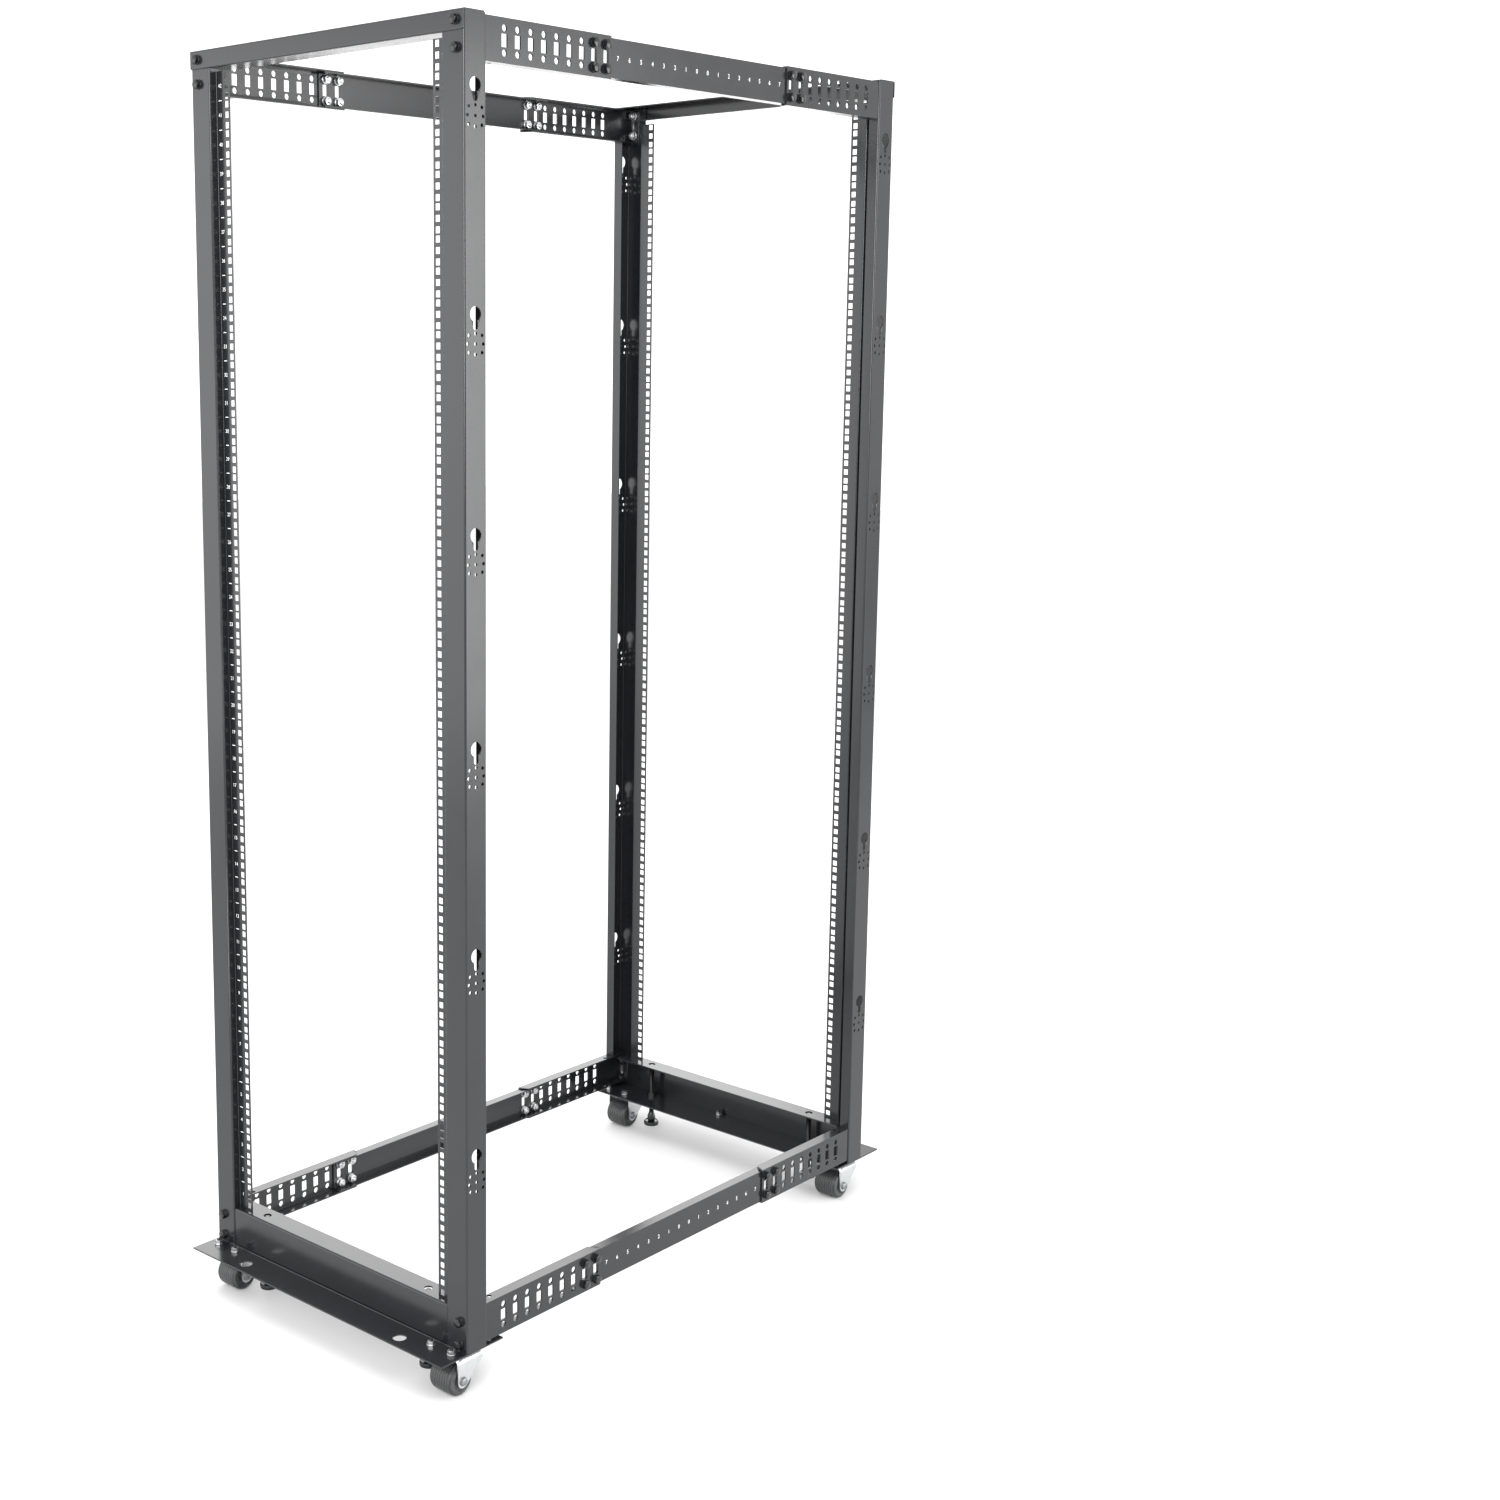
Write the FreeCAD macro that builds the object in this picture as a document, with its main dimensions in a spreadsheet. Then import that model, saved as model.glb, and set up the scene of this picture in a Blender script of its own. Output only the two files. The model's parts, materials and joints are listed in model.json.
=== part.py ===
import FreeCAD, Part
import Sketcher
import math
import os

# A 42 unit four post open frame rack on casters, in millimetres.
# The origin lies on the floor under the middle of the frame: +X is the right side seen from
# the front, -Y is the front and +Z is up.

os.makedirs("parts", exist_ok=True)
doc = FreeCAD.newDocument("open_frame_rack")
sheet = doc.addObject("Spreadsheet::Sheet", "Sizes")

# Driving sizes: alias, value, what it measures.
DRIVING_SIZES = [
    ("frame_width", 600.0, "outer width over the side webs of the posts"),
    ("frame_depth", 1064.0, "outer depth over the faces of the front and rear posts"),
    ("post_sheet", 2.0, "sheet thickness of the posts"),
    ("post_face", 44.0, "width of a post's face"),
    ("post_side", 44.0, "depth of a post's side web"),
    ("post_lip", 20.0, "width of the lip at the inner end of the side web"),
    ("sheet_bend", 1.0, "inner radius of every bend in the posts"),
    ("rail_recess", 14.0, "how far the mounting flange sits behind the post's face"),
    ("post_section", 75.0, "from a post's side web to the inner edge of its mounting flange"),
    ("column_inset", 7.56, "from a mounting flange's inner edge to its column of square holes"),
    ("unit_height", 44.45, "one rack unit"),
    ("unit_count", 42, "rack units in the frame"),
    ("unit_lift", 2.0, "from a base beam's top flange up to the bottom of unit 1"),
    ("top_margin", 31.1, "from the top of the highest unit to the posts' upper ends"),
    ("first_hole", 6.35, "height of a unit's first hole above the unit's bottom"),
    ("hole_step", 15.875, "spacing of the three holes within a unit"),
    ("square_hole", 9.5, "side of a square hole"),
    ("keyhole_lift", 244.2, "from the bottom of unit 1 up to the lowest keyhole's head"),
    ("keyhole_units", 7, "rack units from one keyhole to the next"),
    ("keyhole_head", 22.0, "diameter of a keyhole's head"),
    ("keyhole_slot", 9.5, "width of a keyhole's slot"),
    ("keyhole_drop", 17.8, "from a keyhole's head centre down to the slot's end centre"),
    ("bar_sheet", 2.0, "sheet thickness of the top bars"),
    ("bar_height", 29.0, "height of a top bar's face"),
    ("bar_flange", 42.0, "depth of a top bar's flanges"),
    ("bar_corner", 4.0, "rounding of a top bar's lower corners"),
    ("bar_gap", 0.9, "gap between a top bar's lower flange and the posts"),
    ("beam_sheet", 2.5, "plate thickness of the base beams"),
    ("beam_height", 68.0, "height of a base beam from its underside to its top flange"),
    ("beam_underside", 73.5, "height of a base beam's underside above the floor"),
    ("ledge_depth", 55.0, "how far the ledge stands out from the posts' faces"),
    ("foot_plate_depth", 77.0, "how far the bottom plate runs inwards from the beam's web"),
    ("anchor_hole", 22.0, "diameter of the floor anchor holes in the ledges"),
    ("anchor_side_inset", 114.0, "from a side of the frame in to the anchor holes"),
    ("anchor_inset", 22.0, "from the ledge's edge to the anchor holes"),
    ("access_hole", 14.0, "diameter of the holes over the levelling feet"),
    ("fit_gap", 0.2, "gap where a piece slides inside another"),
    ("corner_gap", 3.5, "gap between a base beam's end and the side webs of the posts"),
    ("bracket_sheet", 2.5, "plate thickness of the side brackets and middle rails"),
    ("bracket_height", 62.0, "height of a side bracket"),
    ("bracket_flange", 20.0, "width of the side brackets' flanges"),
    ("bracket_reach", 312.0, "from the posts' faces to a bracket's free end"),
    ("bracket_tab", 26.0, "width of the tab that bolts a bracket to its post"),
    ("bracket_lift", 5.0, "from the posts' lower ends up to the lower brackets' underside"),
    ("upper_bracket_drop", 2.0, "from the posts' upper ends down to the upper brackets' top"),
    ("bracket_cut", 11.0, "length of the slanted cut at a bracket flange's free corner"),
    ("flange_hole", 8.0, "diameter of the hole in a bracket's flanges"),
    ("flange_hole_reach", 65.0, "from the posts' faces to the hole in a bracket's flanges"),
    ("flange_hole_inset", 13.8, "from a bracket's outside to the hole in its flanges"),
    ("slot_width", 12.0, "width of a slot in the side rails"),
    ("slot_height", 18.0, "height of a slot in the side rails"),
    ("slot_pitch", 27.2, "spacing of the slots along the side rails"),
    ("slot_inset", 11.5, "from a bracket's free end to its last slot"),
    ("slot_clear", 75.0, "least distance from the posts' faces to a slot"),
    ("rail_overlap", 53.0, "how far a middle rail reaches into a bracket"),
    ("rail_slots", 2, "slots at each end of a middle rail"),
    ("caster_side_inset", 41.0, "from a side of the frame in to a caster's swivel"),
    ("caster_inset", 21.0, "from the posts' faces in to a caster's swivel"),
    ("caster_trail", 15.5, "from the swivel towards the front to the wheel's axle"),
    ("caster_plate_x", 64.0, "caster plate, across the frame"),
    ("caster_plate_y", 94.0, "caster plate, along the frame"),
    ("caster_plate_sheet", 3.0, "thickness of a caster's plate"),
    ("race_diameter", 44.0, "diameter of a caster's ball race"),
    ("race_height", 8.7, "height of a caster's ball race"),
    ("race_slope", 2.9, "width and height of the slope at a ball race's lower edge"),
    ("race_gap", 0.3, "gap between a ball race and its fork"),
    ("kingpin", 10.0, "diameter of a caster's kingpin"),
    ("kingpin_head", 16.0, "diameter of a kingpin's head"),
    ("kingpin_head_height", 3.0, "height of a kingpin's head"),
    ("running_gap", 0.08, "radial gap at the kingpins and the wheels' axles"),
    ("fork_sheet", 2.5, "sheet thickness of a fork"),
    ("fork_crown", 53.0, "length of a fork's crown along the frame"),
    ("fork_shoulder", 10.0, "height of a fork's straight sides below its crown's top"),
    ("fork_toe", 11.0, "radius of a fork's lower ends"),
    ("fork_clearance", 1.25, "gap between a wheel's side and its fork"),
    ("wheel_diameter", 51.0, "diameter of a wheel"),
    ("wheel_width", 47.5, "width of a wheel"),
    ("wheel_rounding", 7.0, "rounding of a wheel's edges"),
    ("hub_diameter", 18.0, "diameter of the hub's end faces"),
    ("hub_gap", 0.3, "gap between a hub's end face and the fork"),
    ("axle", 8.0, "diameter of a wheel's axle"),
    ("axle_head", 13.0, "width across the flats of an axle's bolt head"),
    ("axle_head_height", 4.0, "height of an axle's bolt head"),
    ("foot_side_inset", 106.0, "from a side of the frame in to a levelling foot"),
    ("foot_inset", 22.0, "from the posts' faces in to a levelling foot"),
    ("foot_pad", 30.0, "diameter of a levelling foot's pad"),
    ("foot_pad_height", 9.0, "height of a levelling foot's pad"),
    ("foot_pad_edge", 1.5, "width and height of the slopes at a pad's edges"),
    ("foot_raise", 13.0, "height of a levelling foot above the floor"),
    ("foot_stud", 10.0, "diameter of a levelling foot's stud"),
    ("foot_collar", 15.0, "largest diameter of the barrel-shaped collar on a foot's pad"),
    ("foot_collar_base", 13.5, "diameter of that collar where it meets the pad"),
    ("foot_collar_height", 18.0, "height of that collar"),
    ("stud_gap", 0.5, "radial gap round a foot's stud in the beam"),
    ("stud_drop", 1.5, "from a base beam's top flange down to the end of a foot's stud"),
    ("nut_flats", 17.0, "width across the flats of a levelling foot's nuts"),
    ("nut_height", 8.0, "height of a levelling foot's nuts"),
    ("cut_margin", 1.0, "how far a cutting outline runs past what it cuts"),
]


class Size:
    """A number together with its formula on the sheet."""

    def __init__(self, value, formula):
        self.value = value
        self.formula = formula

    def __add__(self, other):
        other = as_size(other)
        return Size(self.value + other.value, f"({self.formula} + {other.formula})")

    def __sub__(self, other):
        other = as_size(other)
        return Size(self.value - other.value, f"({self.formula} - {other.formula})")

    def __mul__(self, other):
        other = as_size(other)
        return Size(self.value * other.value, f"({self.formula} * {other.formula})")

    def __truediv__(self, other):
        other = as_size(other)
        return Size(self.value / other.value, f"({self.formula} / {other.formula})")

    def whole(self):
        return Size(math.floor(self.value), f"floor({self.formula})")

    def __neg__(self):
        return Size(-self.value, f"(-1 * {self.formula})")

    def __radd__(self, other):
        return as_size(other) + self

    def __rmul__(self, other):
        return as_size(other) * self


def as_size(number):
    if isinstance(number, Size):
        return number
    return Size(number, f"({number})")


def fill_sheet():
    """Write the driving sizes into the sheet and return them by alias."""
    found = {}
    for row, (alias, value, meaning) in enumerate(DRIVING_SIZES, start=1):
        sheet.set(f"A{row}", meaning)
        sheet.set(f"B{row}", str(value))
        sheet.setAlias(f"B{row}", alias)
        found[alias] = Size(value, f"Sizes.{alias}")
    doc.recompute()
    return found


S = fill_sheet()

# Places that follow from the driving sizes.
half_width = S["frame_width"] / 2
half_depth = S["frame_depth"] / 2
half_bay = half_width - S["post_section"]
column_x = half_bay + S["column_inset"]
beam_top = S["beam_underside"] + S["beam_height"]
unit_base = beam_top + S["unit_lift"]
units_top = unit_base + S["unit_height"] * S["unit_count"]
post_foot = S["beam_underside"] + S["beam_sheet"]
post_top = units_top + S["top_margin"]
post_length = post_top - post_foot
keyhole_first = unit_base + S["keyhole_lift"]
keyhole_count = (S["unit_count"] / S["keyhole_units"]).whole()
flange_plane = half_depth - S["rail_recess"]
side_web_inside = half_width - S["post_sheet"]
lip_plane = half_depth - S["post_side"]
bracket_outside = side_web_inside - S["fit_gap"]
bracket_inside = bracket_outside - S["bracket_sheet"]
bracket_flange_end = bracket_outside - S["bracket_flange"]
lower_bracket = post_foot + S["bracket_lift"]
upper_bracket = post_top - S["upper_bracket_drop"] - S["bracket_height"]
free_end = half_depth - S["bracket_reach"]
last_slot = free_end + S["slot_inset"]
slot_row = S["bracket_reach"] - S["slot_inset"] - S["slot_clear"]
bracket_slots = (slot_row / S["slot_pitch"]).whole() + 1
swivel_x = half_width - S["caster_side_inset"]
swivel_y = half_depth - S["caster_inset"]
wheel_radius = S["wheel_diameter"] / 2
plate_underside = S["beam_underside"] - S["caster_plate_sheet"]
crown_top = plate_underside - S["race_height"] - S["race_gap"]
fork_inside = S["wheel_width"] / 2 + S["fork_clearance"]
fork_outside = fork_inside + S["fork_sheet"]
foot_x = half_width - S["foot_side_inset"]
foot_y = half_depth - S["foot_inset"]
margin = S["cut_margin"]


def bind(item, path, size):
    """Tie one property of an object to its formula."""
    item.setExpression(path, as_size(size).formula)


def origin_plane(body, role):
    for feature in body.Origin.OriginFeatures:
        if feature.Role == role:
            return feature
    raise ValueError(role)


def add_body(name):
    body = doc.addObject("PartDesign::Body", name)
    body.Label = name
    return body


def add_sketch(body, name, role, offset=0):
    """A sketch on one of the body's origin planes, moved along the plane's normal."""
    sketch = body.newObject("Sketcher::SketchObject", name)
    sketch.AttachmentSupport = (origin_plane(body, role), [""])
    sketch.MapMode = "FlatFace"
    bind(sketch, "AttachmentOffset.Base.z", offset)
    return sketch


def pin_point(sketch, edge, end, point):
    """Hold one end of a sketch edge at its two coordinates."""
    for kind, place in (("DistanceX", point[0]), ("DistanceY", point[1])):
        place = as_size(place)
        rule = Sketcher.Constraint(kind, -1, 1, edge, end, place.value)
        number = sketch.addConstraint(rule)
        bind(sketch, f"Constraints[{number}]", place)


def draw_outline(sketch, points):
    """A closed outline of straight edges with every corner tied to the sheet."""
    corners = [FreeCAD.Vector(as_size(x).value, as_size(y).value, 0) for x, y in points]
    first = sketch.GeometryCount
    count = len(points)
    for i, corner in enumerate(corners):
        sketch.addGeometry(Part.LineSegment(corner, corners[(i + 1) % count]))
    for i in range(count):
        rule = Sketcher.Constraint("Coincident", first + i, 2, first + (i + 1) % count, 1)
        sketch.addConstraint(rule)
    for i, point in enumerate(points):
        pin_point(sketch, first + i, 1, point)


def draw_box(sketch, left, right, low, high):
    draw_outline(sketch, [(left, low), (right, low), (right, high), (left, high)])


def draw_circle(sketch, x, y, diameter):
    x, y, radius = as_size(x), as_size(y), as_size(diameter) / 2
    centre = FreeCAD.Vector(x.value, y.value, 0)
    edge = sketch.addGeometry(Part.Circle(centre, FreeCAD.Vector(0, 0, 1), radius.value))
    pin_point(sketch, edge, 3, (x, y))
    rule = Sketcher.Constraint("Radius", edge, radius.value)
    number = sketch.addConstraint(rule)
    bind(sketch, f"Constraints[{number}]", radius)


def pad(body, sketch, length, side="One side", backwards=False):
    feature = body.newObject("PartDesign::Pad", sketch.Name + "_pad")
    feature.Profile = sketch
    feature.SideType = side
    feature.Reversed = backwards
    bind(feature, "Length", length)
    return feature


def pocket(body, sketch, length, through=False):
    """Cut evenly to both sides of the sketch."""
    feature = body.newObject("PartDesign::Pocket", sketch.Name + "_pocket")
    feature.Profile = sketch
    feature.SideType = "Symmetric"
    if through:
        feature.Type = "ThroughAll"
    else:
        bind(feature, "Length", length)
    return feature


def repeat(body, name, features, sketch, axis, step, count):
    """Copies of some cuts at an even step along one axis of their sketch."""
    pattern = body.newObject("PartDesign::LinearPattern", name)
    pattern.Originals = features
    pattern.Direction = (sketch, [axis])
    bind(pattern, "Length", step * (count - 1))
    bind(pattern, "Occurrences", count)
    body.Tip = pattern
    return pattern


def near(a, b):
    return abs(a - b) < 0.01


def upright_edges(shape, corners):
    """Names of the vertical edges that stand on the given corners."""
    names = []
    for number, edge in enumerate(shape.Edges, start=1):
        start, end = edge.Vertexes[0].Point, edge.Vertexes[-1].Point
        upright = near(start.x, end.x) and near(start.y, end.y)
        for x, y in corners:
            if upright and near(start.x, as_size(x).value) and near(start.y, as_size(y).value):
                names.append(f"Edge{number}")
    return names


def round_edges(body, name, edges, radius):
    base = body.Tip
    feature = body.newObject("PartDesign::Fillet", name)
    feature.Base = (base, edges)
    bind(feature, "Radius", radius)
    body.Tip = feature
    return feature


def along_x(shape, y, z):
    """Names of the edges along X at one place in Y and Z."""
    names = []
    for number, edge in enumerate(shape.Edges, start=1):
        start, end = edge.Vertexes[0].Point, edge.Vertexes[-1].Point
        if near(start.y, end.y) and near(start.z, end.z) and not near(start.x, end.x):
            if near(start.y, as_size(y).value) and near(start.z, as_size(z).value):
                names.append(f"Edge{number}")
    return names


def make_post(name, side, rear):
    """A folded post: lip, side web, face, return web and the flange with the square holes.

    It is drawn as a front post on the given side, and a rear post is turned half round.
    """
    body = add_body(name)
    face_inner = half_width - S["post_face"]
    sheet_in = S["post_sheet"]
    section = add_sketch(body, name + "_section", "XY_Plane", post_foot)
    outline = [
        (half_bay, -flange_plane),
        (face_inner, -flange_plane),
        (face_inner, -half_depth),
        (half_width, -half_depth),
        (half_width, -lip_plane),
        (half_width - S["post_lip"], -lip_plane),
        (half_width - S["post_lip"], -lip_plane - sheet_in),
        (side_web_inside, -lip_plane - sheet_in),
        (side_web_inside, -half_depth + sheet_in),
        (face_inner + sheet_in, -half_depth + sheet_in),
        (face_inner + sheet_in, -flange_plane + sheet_in),
        (half_bay, -flange_plane + sheet_in),
    ]
    draw_outline(section, [(side * x, y) for x, y in outline])
    pad(body, section, post_length)
    doc.recompute()

    outer_corners = [outline[2], outline[3], outline[4], outline[10]]
    inner_corners = [outline[1], outline[7], outline[8], outline[9]]
    for word, corners, radius in (
        ("outer", outer_corners, S["sheet_bend"] + sheet_in),
        ("inner", inner_corners, S["sheet_bend"]),
    ):
        placed = [(side * x, y) for x, y in corners]
        edges = upright_edges(body.Tip.Shape, placed)
        round_edges(body, f"{name}_{word}_bends", edges, radius)
        doc.recompute()

    # The flange runs only beside the rack units, above the base beam and below the top bar.
    cut_depth = S["rail_recess"] + margin
    cut_middle = half_depth - sheet_in - cut_depth / 2
    ends = add_sketch(body, name + "_flange_ends", "XZ_Plane", cut_middle)
    near_x = side * (half_bay - margin)
    far_x = side * (face_inner + sheet_in + margin)
    draw_box(ends, near_x, far_x, post_foot - margin, beam_top)
    draw_box(ends, near_x, far_x, units_top, post_top + margin)
    pocket(body, ends, cut_depth)

    # The lip stops short of the side brackets, which run past it.
    lip_low = lower_bracket + S["bracket_height"] + S["fit_gap"]
    lip_high = upper_bracket - S["fit_gap"]
    notches = add_sketch(body, name + "_lip_ends", "XZ_Plane", lip_plane + sheet_in / 2)
    lip_edge = side * (half_width - S["post_lip"] - margin)
    draw_box(notches, lip_edge, side * side_web_inside, post_foot - margin, lip_low)
    draw_box(notches, lip_edge, side * side_web_inside, lip_high, post_top + margin)
    pocket(body, notches, sheet_in * 2)

    half_hole = S["square_hole"] / 2
    squares = add_sketch(body, name + "_square_holes", "XZ_Plane", flange_plane - sheet_in / 2)
    for step in range(3):
        z = unit_base + S["first_hole"] + S["hole_step"] * step
        draw_box(squares, side * (column_x - half_hole), side * (column_x + half_hole),
                 z - half_hole, z + half_hole)
    square_cut = pocket(body, squares, sheet_in * 2)
    repeat(body, name + "_units", [square_cut], squares, "V_Axis",
           S["unit_height"], S["unit_count"])

    web_middle = side * (half_width - sheet_in / 2)
    key_y = -(half_depth - S["post_side"] / 2)
    heads = add_sketch(body, name + "_keyhole_heads", "YZ_Plane", web_middle)
    draw_circle(heads, key_y, keyhole_first, S["keyhole_head"])
    head_cut = pocket(body, heads, sheet_in * 2)
    slots = add_sketch(body, name + "_keyhole_slots", "YZ_Plane", web_middle)
    half_slot = S["keyhole_slot"] / 2
    draw_slot(slots, key_y, keyhole_first - S["keyhole_drop"], keyhole_first, half_slot)
    slot_cut = pocket(body, slots, sheet_in * 2)
    repeat(body, name + "_keyholes", [head_cut, slot_cut], slots, "V_Axis",
           S["unit_height"] * S["keyhole_units"], keyhole_count)

    if rear:
        turn_half_round(body)
    return body


def draw_slot(sketch, x, low, high, radius):
    """An upright slot with a round lower end, centred on x."""
    x, low, high, radius = as_size(x), as_size(low), as_size(high), as_size(radius)
    left, right = x - radius, x + radius
    corners = [
        FreeCAD.Vector(left.value, low.value, 0),
        FreeCAD.Vector(right.value, low.value, 0),
        FreeCAD.Vector(right.value, high.value, 0),
        FreeCAD.Vector(left.value, high.value, 0),
    ]
    centre = FreeCAD.Vector(x.value, low.value, 0)
    circle = Part.Circle(centre, FreeCAD.Vector(0, 0, 1), radius.value)
    bottom = sketch.addGeometry(Part.ArcOfCircle(circle, math.pi, 2 * math.pi))
    right_edge = sketch.addGeometry(Part.LineSegment(corners[1], corners[2]))
    top_edge = sketch.addGeometry(Part.LineSegment(corners[2], corners[3]))
    left_edge = sketch.addGeometry(Part.LineSegment(corners[3], corners[0]))
    for a, a_end, b, b_end in (
        (bottom, 2, right_edge, 1),
        (right_edge, 2, top_edge, 1),
        (top_edge, 2, left_edge, 1),
        (left_edge, 2, bottom, 1),
    ):
        sketch.addConstraint(Sketcher.Constraint("Coincident", a, a_end, b, b_end))
    pin_point(sketch, right_edge, 2, (right, high))
    pin_point(sketch, left_edge, 1, (left, high))
    pin_point(sketch, bottom, 3, (x, low))
    sketch.addConstraint(Sketcher.Constraint("Vertical", left_edge))
    sketch.addConstraint(Sketcher.Constraint("Horizontal", bottom, 1, bottom, 3))
    sketch.addConstraint(Sketcher.Constraint("Horizontal", bottom, 2, bottom, 3))


def turn_half_round(body):
    body.Placement = FreeCAD.Placement(FreeCAD.Vector(), FreeCAD.Rotation(180, 0, 0))


def make_top_bar(name, rear):
    """A folded bar that laps over the two posts' faces and closes their upper ends."""
    body = add_body(name)
    inner = -half_depth
    outer = -half_depth - S["bar_sheet"]
    flange_end = -half_depth + S["bar_flange"] - S["bar_sheet"]
    top = post_top + S["bar_sheet"]
    bottom = top - S["bar_height"]
    section = add_sketch(body, name + "_section", "YZ_Plane")
    draw_outline(section, [
        (outer, bottom),
        (outer, top),
        (flange_end, top),
        (flange_end, post_top),
        (inner, post_top),
        (inner, bottom + S["bar_sheet"]),
        (flange_end, bottom + S["bar_sheet"]),
        (flange_end, bottom),
    ])
    pad(body, section, S["frame_width"], "Symmetric")
    doc.recompute()
    bends = along_x(body.Tip.Shape, outer, top) + along_x(body.Tip.Shape, outer, bottom)
    round_edges(body, name + "_bends", bends, S["sheet_bend"] + S["bar_sheet"])

    # The lower flange runs only between the posts.
    between = half_width - S["post_face"] - S["bar_gap"]
    ends = add_sketch(body, name + "_flange_ends", "XY_Plane", bottom)
    for side in (-1, 1):
        draw_box(ends, side * between, side * (half_width + margin), inner,
                 flange_end + margin)
    pocket(body, ends, S["bar_sheet"] * 4)
    doc.recompute()

    corners = add_sketch(body, name + "_corners", "XZ_Plane", half_depth)
    for side in (-1, 1):
        draw_corner(corners, side, half_width, bottom, S["bar_corner"])
    pocket(body, corners, S["bar_sheet"] * 4)
    if rear:
        turn_half_round(body)
    return body


def draw_corner(sketch, side, x, low, radius):
    """The waste outside a rounded lower corner at x, on one side of the middle."""
    x, low, radius = as_size(x), as_size(low), as_size(radius)
    centre = (side * (x - radius), low + radius)
    middle = FreeCAD.Vector(centre[0].value, centre[1].value, 0)
    circle = Part.Circle(middle, FreeCAD.Vector(0, 0, 1), radius.value)
    first = 1.5 * math.pi if side > 0 else math.pi
    arc = sketch.addGeometry(Part.ArcOfCircle(circle, first, first + math.pi / 2))
    beside = 2 if side > 0 else 1
    below = 3 - beside
    outside = [
        (side * x, low + radius),
        (side * (x + margin), low + radius),
        (side * (x + margin), low - margin),
        (side * (x - radius), low - margin),
        (side * (x - radius), low),
    ]
    corners = [FreeCAD.Vector(a.value, b.value, 0) for a, b in outside]
    edges = [
        sketch.addGeometry(Part.LineSegment(corners[i], corners[i + 1]))
        for i in range(len(corners) - 1)
    ]
    for i in range(len(edges) - 1):
        sketch.addConstraint(Sketcher.Constraint("Coincident", edges[i], 2, edges[i + 1], 1))
    sketch.addConstraint(Sketcher.Constraint("Coincident", arc, beside, edges[0], 1))
    sketch.addConstraint(Sketcher.Constraint("Coincident", arc, below, edges[-1], 2))
    for i, edge in enumerate(edges):
        pin_point(sketch, edge, 1, outside[i])
    pin_point(sketch, edges[-1], 2, outside[-1])
    number = sketch.addConstraint(Sketcher.Constraint("Radius", arc, radius.value))
    bind(sketch, f"Constraints[{number}]", radius)


def make_base_beam(name, rear):
    """A base beam: bottom plate with its outer ledge, upright web and inward top flange."""
    body = add_body(name)
    sheet_in = S["beam_sheet"]
    web_outer = -half_depth + S["post_sheet"]
    web_inner = web_outer + sheet_in
    flange_end = -lip_plane - S["post_sheet"]
    ledge_edge = -half_depth - S["ledge_depth"]
    plate_end = web_outer + S["foot_plate_depth"]
    under = S["beam_underside"]
    section = add_sketch(body, name + "_section", "YZ_Plane")
    draw_outline(section, [
        (ledge_edge, under),
        (ledge_edge, under + sheet_in),
        (web_outer, under + sheet_in),
        (web_outer, beam_top),
        (flange_end, beam_top),
        (flange_end, beam_top - sheet_in),
        (web_inner, beam_top - sheet_in),
        (web_inner, under + sheet_in),
        (plate_end, under + sheet_in),
        (plate_end, under),
    ])
    pad(body, section, S["frame_width"], "Symmetric")
    doc.recompute()
    bend = along_x(body.Tip.Shape, web_outer, beam_top)
    round_edges(body, name + "_bend", bend, S["sheet_bend"] + sheet_in)

    # The web ends inside the posts and the top flange ends beside the side brackets.
    web_end = side_web_inside - S["corner_gap"] / 2
    web_cut = add_sketch(body, name + "_web_ends", "XZ_Plane", half_depth)
    above_plate = under + sheet_in
    for side in (-1, 1):
        draw_box(web_cut, side * web_end, side * (half_width + margin), above_plate,
                 beam_top + margin)
    pocket(body, web_cut, S["post_side"] * 2)
    tab_edge = bracket_outside - S["bracket_tab"] - S["fit_gap"]
    flange_cut = add_sketch(body, name + "_flange_ends", "XY_Plane", beam_top)
    for side in (-1, 1):
        draw_box(flange_cut, side * tab_edge, side * (half_width + margin), web_inner,
                 flange_end + margin)
    pocket(body, flange_cut, sheet_in * 4)

    holes = add_sketch(body, name + "_plate_holes", "XY_Plane", under + sheet_in / 2)
    for side in (-1, 1):
        draw_circle(holes, side * (half_width - S["anchor_side_inset"]),
                    ledge_edge + S["anchor_inset"], S["anchor_hole"])
        draw_circle(holes, side * foot_x, -foot_y, S["foot_stud"] + S["stud_gap"] * 2)
    pocket(body, holes, sheet_in * 2)
    access = add_sketch(body, name + "_access_holes", "XY_Plane", beam_top - sheet_in / 2)
    for side in (-1, 1):
        draw_circle(access, side * foot_x, -foot_y, S["access_hole"])
    pocket(body, access, sheet_in * 2)
    if rear:
        turn_half_round(body)
    return body


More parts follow.
